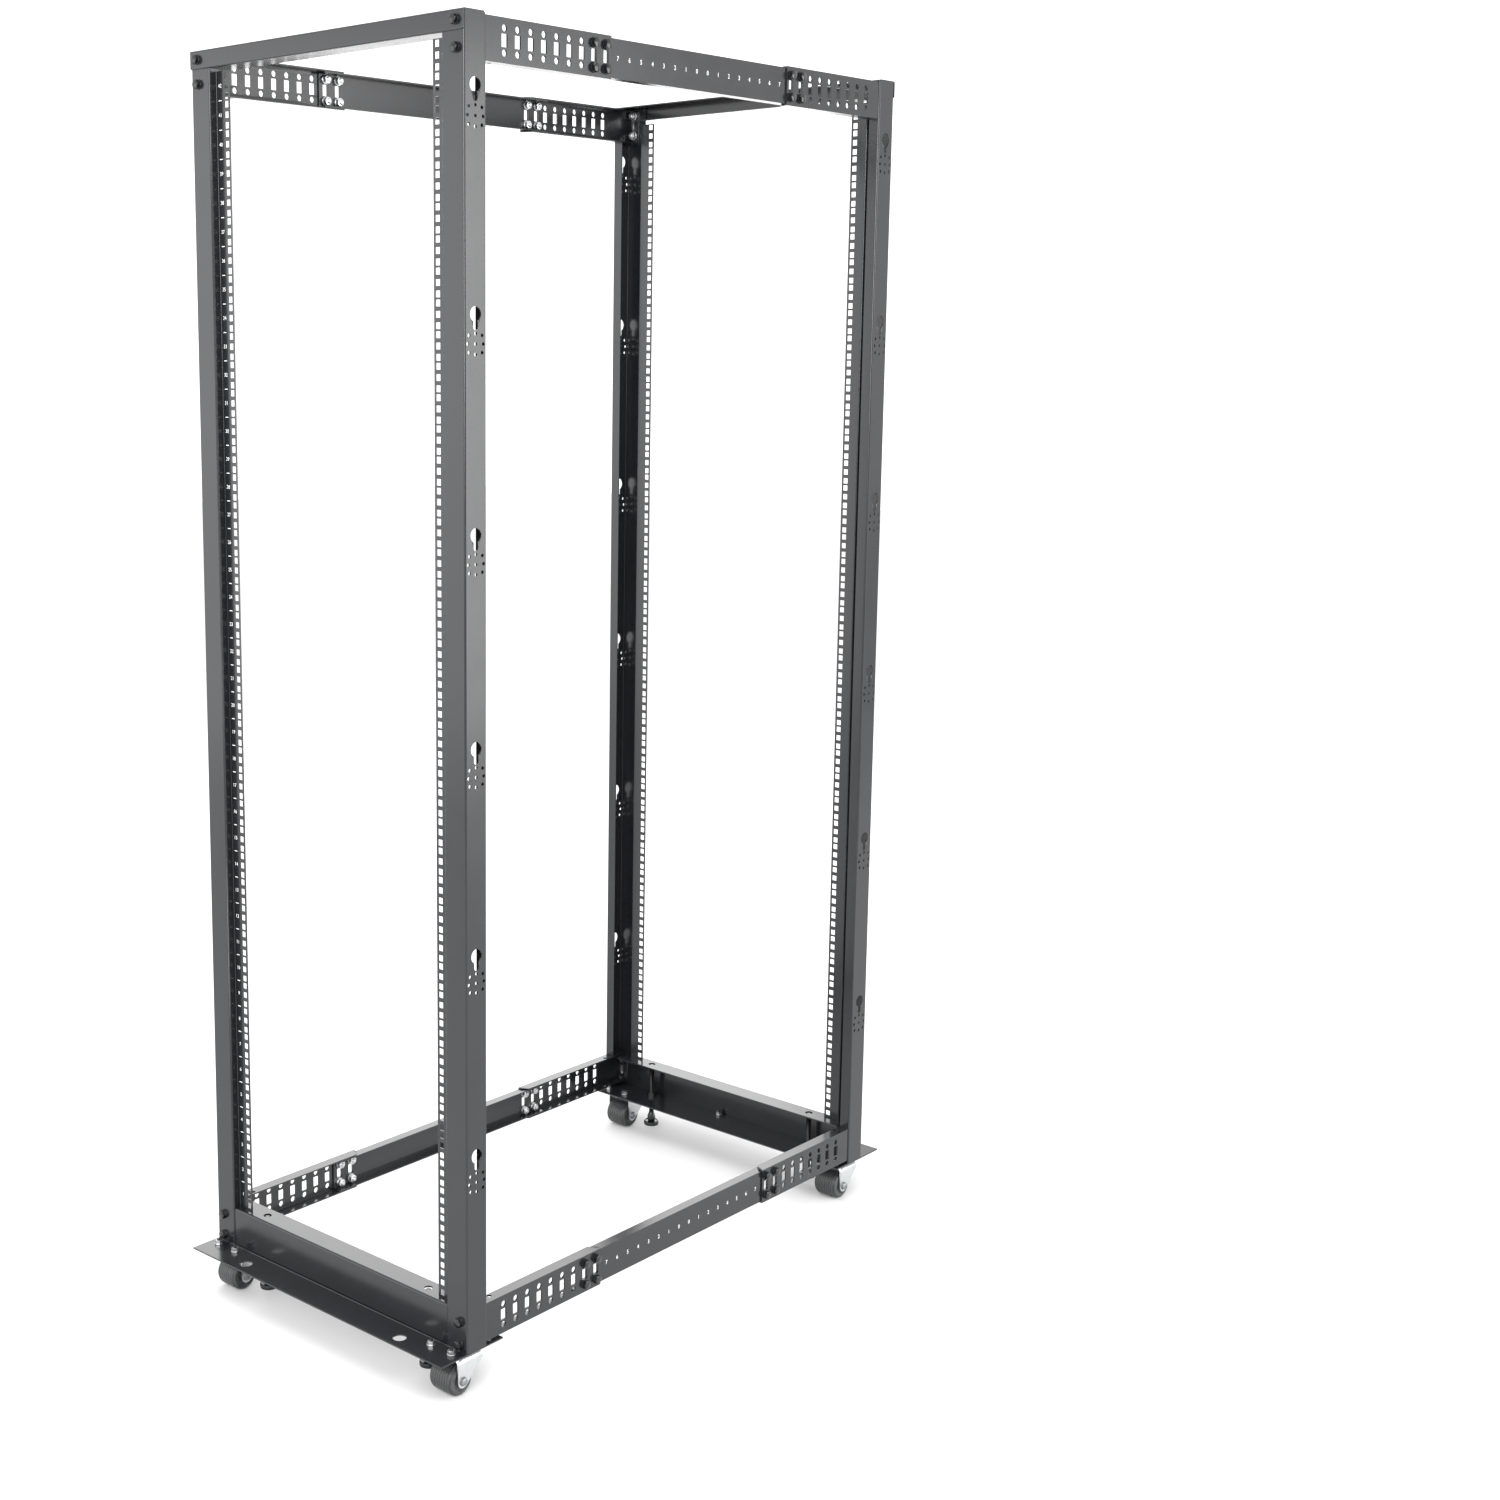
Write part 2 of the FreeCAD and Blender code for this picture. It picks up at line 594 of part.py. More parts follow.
def make_bracket(name, side, rear, underside, tab_face):
    """A side bracket: a channel with a row of slots and a tab behind the post's face."""
    body = add_body(name)
    sheet_in = S["bracket_sheet"]
    top = underside + S["bracket_height"]
    length = tab_face - free_end
    section = add_sketch(body, name + "_section", "XZ_Plane", free_end + length / 2)
    draw_outline(section, [(side * x, z) for x, z in [
        (bracket_flange_end, underside),
        (bracket_outside, underside),
        (bracket_outside, top),
        (bracket_flange_end, top),
        (bracket_flange_end, top - sheet_in),
        (bracket_inside, top - sheet_in),
        (bracket_inside, underside + sheet_in),
        (bracket_flange_end, underside + sheet_in),
    ]])
    pad(body, section, length, "Symmetric")
    tab = add_sketch(body, name + "_tab", "XZ_Plane", tab_face - sheet_in / 2)
    draw_box(tab, side * (bracket_outside - S["bracket_tab"]), side * bracket_inside,
             underside + sheet_in, top - sheet_in)
    pad(body, tab, sheet_in, "Symmetric")
    doc.recompute()
    corner = [(side * bracket_outside, -tab_face)]
    edges = upright_edges(body.Tip.Shape, corner)
    round_edges(body, name + "_bend", edges, S["sheet_bend"] + sheet_in)

    # Both flanges lose their free inner corner and have one hole near the post.
    flanges = add_sketch(body, name + "_flange_cuts", "XY_Plane", underside)
    corner_x = bracket_flange_end - margin
    corner_y = -free_end + margin
    cut_edge = S["bracket_cut"] + margin * 2
    draw_outline(flanges, [
        (side * corner_x, corner_y),
        (side * corner_x, corner_y - cut_edge),
        (side * (corner_x + cut_edge), corner_y),
    ])
    draw_circle(flanges, side * (bracket_outside - S["flange_hole_inset"]),
                -half_depth + S["flange_hole_reach"], S["flange_hole"])
    pocket(body, flanges, S["bracket_height"] * 3)

    slots = add_sketch(body, name + "_slots", "YZ_Plane", side * (bracket_inside + sheet_in / 2))
    draw_rail_slot(slots, -last_slot, underside + S["bracket_height"] / 2)
    cut = pocket(body, slots, sheet_in * 2)
    row = repeat(body, name + "_slot_row", [cut], slots, "H_Axis", S["slot_pitch"],
                 bracket_slots)
    row.Reversed = True
    if rear:
        turn_half_round(body)
    return body


def draw_rail_slot(sketch, y, z):
    half_wide = S["slot_width"] / 2
    half_high = S["slot_height"] / 2
    draw_box(sketch, y - half_wide, y + half_wide, z - half_high, z + half_high)


def make_middle_rail(name, side, bracket_underside):
    """The rail that slides inside the two brackets of one side and is bolted to them."""
    body = add_body(name)
    sheet_in = S["bracket_sheet"]
    underside = bracket_underside + sheet_in
    top = bracket_underside + S["bracket_height"] - sheet_in
    rail_inside = bracket_inside - sheet_in
    section = add_sketch(body, name + "_section", "XZ_Plane")
    draw_outline(section, [(side * x, z) for x, z in [
        (bracket_flange_end, underside),
        (bracket_inside, underside),
        (bracket_inside, top),
        (bracket_flange_end, top),
        (bracket_flange_end, top - sheet_in),
        (rail_inside, top - sheet_in),
        (rail_inside, underside + sheet_in),
        (bracket_flange_end, underside + sheet_in),
    ]])
    pad(body, section, (free_end + S["rail_overlap"]) * 2, "Symmetric")
    slots = add_sketch(body, name + "_slots", "YZ_Plane", side * (rail_inside + sheet_in / 2))
    for step in range(int(S["rail_slots"].value)):
        for end in (-1, 1):
            y = end * (last_slot + S["slot_pitch"] * step)
            draw_rail_slot(slots, y, bracket_underside + S["bracket_height"] / 2)
    pocket(body, slots, sheet_in * 2)
    return body


def revolve(body, sketch, axis):
    feature = body.newObject("PartDesign::Revolution", sketch.Name + "_turned")
    feature.Profile = sketch
    feature.ReferenceAxis = (sketch, [axis])
    feature.Angle = 360
    return feature


def place_at_corner(body, side, rear):
    """Set a caster piece, drawn round its own swivel, on one corner of the frame."""
    bind(body, "Placement.Base.x", side * swivel_x)
    bind(body, "Placement.Base.y", (1 if rear else -1) * swivel_y)


def make_caster_plate(name):
    """Mounting plate with its ball race and the kingpin that carries the fork."""
    body = add_body(name)
    plate = add_sketch(body, name + "_plate", "XY_Plane", plate_underside)
    half_x = S["caster_plate_x"] / 2
    half_y = S["caster_plate_y"] / 2
    draw_box(plate, -half_x, half_x, -half_y, half_y)
    pad(body, plate, S["caster_plate_sheet"])
    pin_radius = S["kingpin"] / 2
    crown_bottom = crown_top - S["fork_sheet"]
    head_top = crown_bottom - S["race_gap"]
    race_bottom = plate_underside - S["race_height"]
    race_top = plate_underside + S["caster_plate_sheet"] / 2
    swivel = add_sketch(body, name + "_race", "XZ_Plane")
    draw_outline(swivel, [
        (0, race_top),
        (S["race_diameter"] / 2, race_top),
        (S["race_diameter"] / 2, race_bottom + S["race_slope"]),
        (S["race_diameter"] / 2 - S["race_slope"], race_bottom),
        (pin_radius, race_bottom),
        (pin_radius, head_top),
        (S["kingpin_head"] / 2, head_top),
        (S["kingpin_head"] / 2, head_top - S["kingpin_head_height"]),
        (0, head_top - S["kingpin_head_height"]),
    ])
    revolve(body, swivel, "V_Axis")
    return body


def make_fork(name):
    """A pressed fork: a crown on the kingpin and two legs down to the axle."""
    body = add_body(name)
    toe = S["fork_toe"]
    half_crown = S["fork_crown"] / 2
    crown_bottom = crown_top - S["fork_sheet"]
    shoulder = crown_top - S["fork_shoulder"]
    axle_y = -S["caster_trail"]
    leg = add_sketch(body, name + "_leg", "YZ_Plane")
    draw_leg(leg, half_crown, shoulder, axle_y, toe)
    pad(body, leg, fork_outside * 2, "Symmetric")
    inside = add_sketch(body, name + "_inside", "XZ_Plane")
    draw_box(inside, -fork_inside, fork_inside, -toe, crown_bottom)
    pocket(body, inside, S["fork_crown"] * 2)
    kingpin_hole = add_sketch(body, name + "_kingpin_hole", "XY_Plane", crown_top)
    draw_circle(kingpin_hole, 0, 0, S["kingpin"] + S["running_gap"] * 2)
    pocket(body, kingpin_hole, S["fork_sheet"] * 4)
    axle_hole = add_sketch(body, name + "_axle_hole", "YZ_Plane")
    draw_circle(axle_hole, axle_y, wheel_radius, S["axle"])
    pocket(body, axle_hole, fork_outside * 3)
    return body


def draw_leg(sketch, half_crown, shoulder, axle_y, toe):
    """A leg's outline: straight crown edges that taper down to a round toe at the axle."""
    low = wheel_radius
    points = [
        FreeCAD.Vector((axle_y + toe).value, low.value, 0),
        FreeCAD.Vector(half_crown.value, shoulder.value, 0),
        FreeCAD.Vector(half_crown.value, crown_top.value, 0),
        FreeCAD.Vector(-half_crown.value, crown_top.value, 0),
        FreeCAD.Vector(-half_crown.value, shoulder.value, 0),
        FreeCAD.Vector((axle_y - toe).value, low.value, 0),
    ]
    edges = [
        sketch.addGeometry(Part.LineSegment(points[i], points[i + 1]))
        for i in range(len(points) - 1)
    ]
    centre = FreeCAD.Vector(axle_y.value, low.value, 0)
    circle = Part.Circle(centre, FreeCAD.Vector(0, 0, 1), toe.value)
    arc = sketch.addGeometry(Part.ArcOfCircle(circle, math.pi, 2 * math.pi))
    for i in range(len(edges) - 1):
        sketch.addConstraint(Sketcher.Constraint("Coincident", edges[i], 2, edges[i + 1], 1))
    pin_point(sketch, edges[1], 1, (half_crown, shoulder))
    pin_point(sketch, edges[1], 2, (half_crown, crown_top))
    pin_point(sketch, edges[2], 2, (-half_crown, crown_top))
    pin_point(sketch, edges[3], 2, (-half_crown, shoulder))
    pin_point(sketch, arc, 3, (axle_y, low))
    sketch.addConstraint(Sketcher.Constraint("Tangent", edges[4], 2, arc, 1))
    sketch.addConstraint(Sketcher.Constraint("Tangent", arc, 2, edges[0], 1))
    rule = Sketcher.Constraint("Radius", arc, toe.value)
    number = sketch.addConstraint(rule)
    bind(sketch, f"Constraints[{number}]", toe)


def make_wheel(name):
    """A wide solid wheel with its edges turned off and a hub that runs on the axle."""
    body = add_body(name)
    bore = S["axle"] / 2 + S["running_gap"]
    half = S["wheel_width"] / 2
    hub_half = fork_inside - S["hub_gap"]
    hub = S["hub_diameter"] / 2
    rounding = S["wheel_rounding"]
    halfway = rounding * (1 - math.sqrt(0.5))
    profile = add_sketch(body, name + "_profile", "XZ_Plane", S["caster_trail"])
    right_half = [
        (half, wheel_radius * 2 - rounding),
        (half, wheel_radius + hub),
        (hub_half, wheel_radius + hub),
        (hub_half, wheel_radius + bore),
    ]
    tread = [
        (half - rounding, wheel_radius * 2),
        (half - halfway, wheel_radius * 2 - halfway),
    ]
    left_half = [(-x, z) for x, z in reversed(tread + right_half)]
    draw_outline(profile, left_half + tread + right_half)
    revolve(body, profile, draw_axle_line(profile, half))
    return body


def draw_axle_line(sketch, half):
    """A construction line along the axle, and its name as a reference axis."""
    ends = [(-half, wheel_radius), (half, wheel_radius)]
    corners = [FreeCAD.Vector(x.value, z.value, 0) for x, z in ends]
    edge = sketch.addGeometry(Part.LineSegment(*corners), True)
    for number, end in enumerate(ends, start=1):
        pin_point(sketch, edge, number, end)
    return "Axis0"


def draw_hexagon(sketch, x, y, flats):
    """A hexagon with two corners on the sketch's vertical through its centre."""
    x, y = as_size(x), as_size(y)
    corner = flats / math.sqrt(3)
    half = flats / 2
    draw_outline(sketch, [
        (x, y + corner),
        (x - half, y + corner / 2),
        (x - half, y - corner / 2),
        (x, y - corner),
        (x + half, y - corner / 2),
        (x + half, y + corner / 2),
    ])


def make_axle(name):
    """The wheel's axle bolt: a shank with a hexagon head outside each fork leg."""
    body = add_body(name)
    shank = add_sketch(body, name + "_shank", "YZ_Plane")
    draw_circle(shank, -S["caster_trail"], wheel_radius, S["axle"])
    pad(body, shank, fork_outside * 2, "Symmetric")
    for side, word in ((1, "head"), (-1, "nut")):
        middle = side * (fork_outside + S["axle_head_height"] / 2)
        head = add_sketch(body, f"{name}_{word}", "YZ_Plane", middle)
        draw_hexagon(head, -S["caster_trail"], wheel_radius, S["axle_head"])
        pad(body, head, S["axle_head_height"], "Symmetric")
    return body


def make_foot(name, side, rear):
    """A levelling foot: pad, barrel collar, stud and the nuts that hold it in the beam."""
    body = add_body(name)
    pad_radius = S["foot_pad"] / 2
    stud = S["foot_stud"] / 2
    low = S["foot_raise"]
    pad_top = low + S["foot_pad_height"]
    collar_top = pad_top + S["foot_collar_height"]
    plate_top = S["beam_underside"] + S["beam_sheet"]
    stud_end = beam_top - S["stud_drop"]
    edge = S["foot_pad_edge"]
    barrel = S["foot_collar_height"] / 3
    profile = add_sketch(body, name + "_profile", "XZ_Plane")
    draw_outline(profile, [
        (0, low),
        (pad_radius - edge, low),
        (pad_radius, low + edge),
        (pad_radius, pad_top - edge),
        (pad_radius - edge, pad_top),
        (S["foot_collar_base"] / 2, pad_top),
        (S["foot_collar"] / 2, pad_top + barrel),
        (S["foot_collar"] / 2, collar_top - barrel),
        (stud, collar_top),
        (stud, stud_end),
        (0, stud_end),
    ])
    revolve(body, profile, "V_Axis")
    for word, height in (("lower", S["beam_underside"] - S["nut_height"]), ("upper", plate_top)):
        nut = add_sketch(body, f"{name}_{word}_nut", "XY_Plane", height)
        draw_hexagon(nut, 0, 0, S["nut_flats"])
        pad(body, nut, S["nut_height"])
    bind(body, "Placement.Base.x", side * foot_x)
    bind(body, "Placement.Base.y", (1 if rear else -1) * foot_y)
    return body


def build():
    """Make every sub-part of the rack and return their bodies."""
    bodies = []
    for end, rear in (("front", False), ("rear", True)):
        bodies.append(make_top_bar(f"{end}_top_bar", rear))
        bodies.append(make_base_beam(f"{end}_base_beam", rear))
        for hand, side in (("left", -1), ("right", 1)):
            # A rear piece is drawn as the front piece of the other side and turned half round.
            drawn = -side if rear else side
            corner = f"{end}_{hand}"
            bodies.append(make_post(f"{corner}_post", drawn, rear))
            upper_face = half_depth - S["post_sheet"]
            lower_face = upper_face - S["beam_sheet"]
            bodies.append(make_bracket(f"{corner}_upper_bracket", drawn, rear,
                                       upper_bracket, upper_face))
            bodies.append(make_bracket(f"{corner}_lower_bracket", drawn, rear,
                                       lower_bracket, lower_face))
            for make, word in (
                (make_caster_plate, "caster_plate"),
                (make_fork, "caster_fork"),
                (make_wheel, "caster_wheel"),
                (make_axle, "caster_axle"),
            ):
                piece = make(f"{corner}_{word}")
                place_at_corner(piece, side, rear)
                bodies.append(piece)
            bodies.append(make_foot(f"{corner}_levelling_foot", side, rear))
    for hand, side in (("left", -1), ("right", 1)):
        bodies.append(make_middle_rail(f"{hand}_upper_rail", side, upper_bracket))
        bodies.append(make_middle_rail(f"{hand}_lower_rail", side, lower_bracket))
    return bodies


def check_and_write(bodies):
    """Stop at any failed feature or bad solid, then write one file for each sub-part."""
    doc.recompute()
    for item in doc.Objects:
        if "Invalid" in item.State or "Error" in item.State:
            raise RuntimeError(f"{item.Name} failed: {item.State}")
    for body in bodies:
        shape = body.Shape
        if shape.isNull() or not shape.isValid() or len(shape.Solids) < 1:
            raise RuntimeError(f"{body.Label} has no valid solid")
        shape.exportStep(f"parts/{body.Label}.step")
        box = shape.BoundBox
        print(f"{body.Label}: {len(shape.Solids)} solid, {shape.Volume / 1000:.1f} cm3, "
              f"x {box.XMin:.1f} {box.XMax:.1f}  y {box.YMin:.1f} {box.YMax:.1f}  "
              f"z {box.ZMin:.1f} {box.ZMax:.1f}")


check_and_write(build())
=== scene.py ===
# %% [markdown]
# # A four post open frame rack, dressed for a studio picture
#
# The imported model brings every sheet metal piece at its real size. This lesson gives those pieces
# their finish, drills the small holes, and adds what a workshop adds last: bolts, nuts, threads
# and printed numbers. Lengths below are in millimetres, and MM turns them into metres.

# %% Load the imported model
import json
import math

import bmesh
import bpy
from mathutils import Matrix, Vector


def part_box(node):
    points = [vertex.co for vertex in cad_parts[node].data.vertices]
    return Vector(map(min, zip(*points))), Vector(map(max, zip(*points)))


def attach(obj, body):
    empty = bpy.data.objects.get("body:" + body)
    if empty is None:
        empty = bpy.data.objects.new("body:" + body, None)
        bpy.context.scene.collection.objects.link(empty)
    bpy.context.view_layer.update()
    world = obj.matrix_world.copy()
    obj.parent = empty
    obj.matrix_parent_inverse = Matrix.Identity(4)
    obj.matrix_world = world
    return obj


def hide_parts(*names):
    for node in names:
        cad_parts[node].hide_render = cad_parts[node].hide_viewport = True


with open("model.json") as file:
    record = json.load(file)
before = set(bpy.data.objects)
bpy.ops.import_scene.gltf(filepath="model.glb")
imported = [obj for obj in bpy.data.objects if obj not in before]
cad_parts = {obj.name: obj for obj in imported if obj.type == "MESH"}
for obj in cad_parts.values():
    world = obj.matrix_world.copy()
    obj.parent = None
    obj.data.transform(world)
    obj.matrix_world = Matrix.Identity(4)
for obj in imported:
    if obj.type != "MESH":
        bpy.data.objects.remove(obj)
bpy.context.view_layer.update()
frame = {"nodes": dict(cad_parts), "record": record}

# %% [markdown]
# ## Lengths, corners and places
#
# The four corners of the rack are alike, so nearly everything below is a loop over them. Each
# corner has a sign across the rack (left or right) and a sign along it (front or rear).

# %% Millimetres and the four corners
MM = 0.001
CORNERS = {
    "front_left": (-1, -1),
    "front_right": (1, -1),
    "rear_left": (-1, 1),
    "rear_right": (1, 1),
}
SIDES = {"left": -1, "right": 1}


def at(x, y, z):
    """A point given in millimetres, in metres."""
    return Vector((x, y, z)) * MM


def box_mm(node):
    """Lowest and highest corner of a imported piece, in millimetres."""
    low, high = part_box(node)
    return low / MM, high / MM


post_low, post_high = box_mm("front_right_post")
beam_low, beam_high = box_mm("front_base_beam")
HALF_WIDTH = post_high.x
HALF_DEPTH = -post_low.y
POST_FOOT = post_low.z
POST_TOP = post_high.z
BEAM_UNDER = beam_low.z
BEAM_TOP = beam_high.z
BEAM_SHEET = 2.5
PLATE_TOP = BEAM_UNDER + BEAM_SHEET
UNIT = 44.45
UNITS = 42
UNIT_GAP = 2.0
UNIT_BASE = BEAM_TOP + UNIT_GAP
print("half width", round(HALF_WIDTH, 2), "half depth", round(HALF_DEPTH, 2))
print("posts from", round(POST_FOOT, 2), "to", round(POST_TOP, 2))

# %% [markdown]
# ## Camera
#
# The photograph looks down a little on the front right corner. Its upright edges stay nearly
# parallel, as they do when a camera is held level and its lens is slid down. A small slide of the
# lens keeps most of that here and still leaves the rack in the frame from other directions.

# %% Camera
CAMERA_PLACE = (2316.7, -2576.6, 1578.6)
CAMERA_HEADING = 43.76
CAMERA_TILT = 9.33
CAMERA_LENS = 48.6
SENSOR = 36.0
SLIDE_X = 0.17
SLIDE_Y = -0.043

camera_data = bpy.data.cameras.new("camera")
camera_data.lens = CAMERA_LENS
camera_data.sensor_width = SENSOR
camera_data.shift_x = SLIDE_X
camera_data.shift_y = SLIDE_Y
camera_data.clip_end = 100.0
camera = bpy.data.objects.new("camera", camera_data)
camera.location = at(*CAMERA_PLACE)
camera.rotation_euler = (math.radians(90 - CAMERA_TILT), 0, math.radians(CAMERA_HEADING))
bpy.context.scene.collection.objects.link(camera)
bpy.context.scene.camera = camera
print("camera at", [round(c, 3) for c in camera.location])

# %% [markdown]
# ## Colours and a few helpers for shader nodes
#
# Colours are read from paint charts as sRGB hex values, and a renderer works in linear light, so
# one function turns them over. A second one adds a shader node with its settings and links. The
# others make what each finish below needs: a pattern of a real size, and a colour, a gloss and a
# relief that follow a pattern.


# %% Colour and node helpers
def paint(hex_value):
    """An sRGB hex colour as linear red, green, blue and alpha."""
    def linear(part):
        part = part / 255
        return part / 12.92 if part <= 0.04045 else ((part + 0.055) / 1.055) ** 2.4

    value = int(hex_value.lstrip("#"), 16)
    return tuple(linear(value >> move & 255) for move in (16, 8, 0)) + (1.0,)


def add_node(tree, kind, settings=None, links=None):
    """A shader node with its properties, socket values and incoming links."""
    node = tree.nodes.new(kind)
    for key, value in (settings or {}).items():
        if key in node.inputs.keys():
            node.inputs[key].default_value = value
        else:
            setattr(node, key, value)
    for key, source in (links or {}).items():
        tree.links.new(source, node.inputs[key])
    return node


def new_material(name):
    """An empty node material with its surface shader and its object coordinates."""
    material = bpy.data.materials.new(name)
    material.use_nodes = True
    tree = material.node_tree
    tree.nodes.clear()
    shader = add_node(tree, "ShaderNodeBsdfPrincipled")
    add_node(tree, "ShaderNodeOutputMaterial", links={"Surface": shader.outputs["BSDF"]})
    place = add_node(tree, "ShaderNodeTexCoord").outputs["Object"]
    return material, tree, shader, place


# %% Patterns and what follows them
def specks(tree, place, size, detail, roughness=0.5):
    """Noise whose specks measure about size millimetres."""
    noise = add_node(tree, "ShaderNodeTexNoise",
                     {"Scale": 1 / (size * MM), "Detail": detail, "Roughness": roughness},
                     {"Vector": place})
    return noise.outputs["Fac"]


def colour_between(tree, shader, tones, pattern):
    """A base colour that runs from one tone to the other with a pattern."""
    tone = add_node(tree, "ShaderNodeMixRGB",
                    {"Color1": paint(tones[0]), "Color2": paint(tones[1])}, {"Fac": pattern})
    tree.links.new(tone.outputs["Color"], shader.inputs["Base Color"])


def gloss_between(tree, shader, low, high, pattern):
    """A surface roughness that runs from low to high with a pattern."""
    gloss = add_node(tree, "ShaderNodeMapRange", {"To Min": low, "To Max": high},
                     {"Value": pattern})
    tree.links.new(gloss.outputs["Result"], shader.inputs["Roughness"])


def relief(tree, shader, strength, depth, pattern):
    """Small bumps that follow a pattern, their depth in millimetres."""
    bump = add_node(tree, "ShaderNodeBump", {"Strength": strength, "Distance": depth * MM},
                    {"Height": pattern})
    tree.links.new(bump.outputs["Normal"], shader.inputs["Normal"])


# %% [markdown]
# ## Satin black powder coat
#
# The sheet steel is sprayed with polyester powder and baked. The melt leaves a satin skin with a
# fine orange peel, about one millimetre from crest to crest, and the coat is a touch thinner and
# smoother in places. The colour is a soft black, never pure black.

# %% Powder coat
PEEL_CREST = 1.1
PEEL_DEPTH = 0.08
COAT_DRIFT = 60.0
COAT_TONES = ("#151618", "#1D1E21")
COAT_GLOSS = (0.16, 0.25)


def powder_coat():
    material, tree, shader, place = new_material("satin_black_powder_coat")
    peel = specks(tree, place, PEEL_CREST, 2.0)
    drift = specks(tree, place, COAT_DRIFT, 3.0, 0.6)
    colour_between(tree, shader, COAT_TONES, drift)
    gloss_between(tree, shader, *COAT_GLOSS, drift)
    relief(tree, shader, 0.12, PEEL_DEPTH, peel)
    return material


POWDER_COAT = powder_coat()
print("made", POWDER_COAT.name)

# %% [markdown]
# ## Bright zinc plate
#
# Nuts, caster forks and caster plates are plated with clear zinc: bright, a little cool, with
# faint clouds where the bath left the layer thicker. The axles get a greyer, duller zinc: the
# greyer colour is painted shade and darker reflection round their washers, so each axle shows as
# a ring on its fork.

# %% Zinc plate
ZINC_CLOUD = 9.0
ZINC_SPREAD = 0.18


def zinc_plate(name, tones, smoothest):
    material, tree, shader, place = new_material(name)
    cloud = specks(tree, place, ZINC_CLOUD, 4.0, 0.6)
    colour_between(tree, shader, tones, cloud)
    gloss_between(tree, shader, smoothest, smoothest + ZINC_SPREAD, cloud)
    shader.inputs["Metallic"].default_value = 1.0
    return material


ZINC = zinc_plate("bright_zinc_plate", ("#B4B7B9", "#CDCFCE"), 0.22)
# Axle zinc: its greyer tones are painted shade, and its higher roughness makes it duller.
ZINC_WITH_PAINTED_SHADE = zinc_plate("zinc_plate_with_painted_shade", ("#7E8183", "#97999A"), 0.34)
print("made", ZINC.name, ZINC_WITH_PAINTED_SHADE.name)

# %% [markdown]
# ## Black oxide steel
#
# The bolts and the levelling feet are steel turned black in a hot salt bath and oiled. It is
# smoother and darker than the powder coat and shows small sharp glints.

# %% Black oxide
OXIDE_GRAIN = 2.5
OXIDE_TONES = ("#0C0C0D", "#17181A")
OXIDE_GLOSS = (0.12, 0.24)


def black_oxide():
    material, tree, shader, place = new_material("black_oxide_steel")
    grain = specks(tree, place, OXIDE_GRAIN, 3.0)
    colour_between(tree, shader, OXIDE_TONES, grain)
    gloss_between(tree, shader, *OXIDE_GLOSS, grain)
    return material


BLACK_OXIDE = black_oxide()
print("made", BLACK_OXIDE.name)

# %% [markdown]
# ## Black nylon
#
# The wheels are moulded in one piece of black nylon and turned. The tread shows fine turning
# lines round the wheel as small bumps and a soft shine. Its colour runs from dark to lighter along
# the lines: real turning lines, with painted sheen in their lighter bands.

# %% Nylon
TURNING_LINE = 5.0
TURNING_DEPTH = 0.25
NYLON_WEAR = 6.0
# A dark and a lighter tread tone; the lighter one is painted sheen along the turning lines.
NYLON_TONES_WITH_PAINTED_SHEEN = ("#131415", "#3A3B3C")
NYLON_GLOSS = (0.34, 0.5)


def nylon():
    material, tree, shader, place = new_material("turned_black_nylon")
    lines = add_node(tree, "ShaderNodeTexWave",
                     {"bands_direction": "X", "Scale": math.pi / (10 * TURNING_LINE * MM),
                      "Distortion": 4.0, "Detail": 3.0, "Detail Scale": 1.5},
                     {"Vector": place}).outputs["Fac"]
    wear = specks(tree, place, NYLON_WEAR, 3.0)
    # Colour along the turning lines: painted sheen laid on a real pattern.
    colour_between(tree, shader, NYLON_TONES_WITH_PAINTED_SHEEN, lines)
    gloss_between(tree, shader, *NYLON_GLOSS, wear)
    relief(tree, shader, 0.4, TURNING_DEPTH, lines)
    return material


NYLON = nylon()
print("made", NYLON.name)

# %% [markdown]
# ## White screen ink
#
# The unit numbers and the depth numbers are printed on the coat with white ink, flat and matt.

# %% Ink
INK_SPECK = 0.6
INK_TONES = ("#DADADA", "#F2F2F0")
INK_ROUGHNESS = 0.6


def white_ink():
    material, tree, shader, place = new_material("white_screen_ink")
    colour_between(tree, shader, INK_TONES, specks(tree, place, INK_SPECK, 2.0))
    shader.inputs["Roughness"].default_value = INK_ROUGHNESS
    return material


INK = white_ink()
print("made", INK.name)

# %% [markdown]
# ## Floor and light
#
# The photograph is a product picture: a white sweep, light from all round, and a soft pool of
# shade under the rack. A large pale floor, a white sky and five big soft lamps give that. One
# stands behind the rack on its right: the right side of the front post mirrors it, and its edge
# falls away along the side rails, so that the rear post's side stays dark. One in front on the
# left lies mirrored in the posts' faces, one beside the camera finds every bend, one hangs above,
# and one behind on the left skims the flanges that lie flat. The standard view keeps white paper
# white.

# %% Floor
FLOOR_SIZE = 30000.0
FLOOR_ROUGHNESS = 0.7


def pale_floor():
    material, _, shader, _ = new_material("pale_studio_floor")
    shader.inputs["Base Color"].default_value = paint("#D8D8D8")
    shader.inputs["Roughness"].default_value = FLOOR_ROUGHNESS
    bm = bmesh.new()
    bmesh.ops.create_grid(bm, x_segments=1, y_segments=1, size=FLOOR_SIZE * MM / 2)
    mesh = bpy.data.meshes.new("studio_floor")
    bm.to_mesh(mesh)
    bm.free()
    mesh.materials.append(material)
    floor = bpy.data.objects.new("studio_floor", mesh)
    bpy.context.scene.collection.objects.link(floor)


pale_floor()

# %% Light
SKY_STRENGTH = 1.55
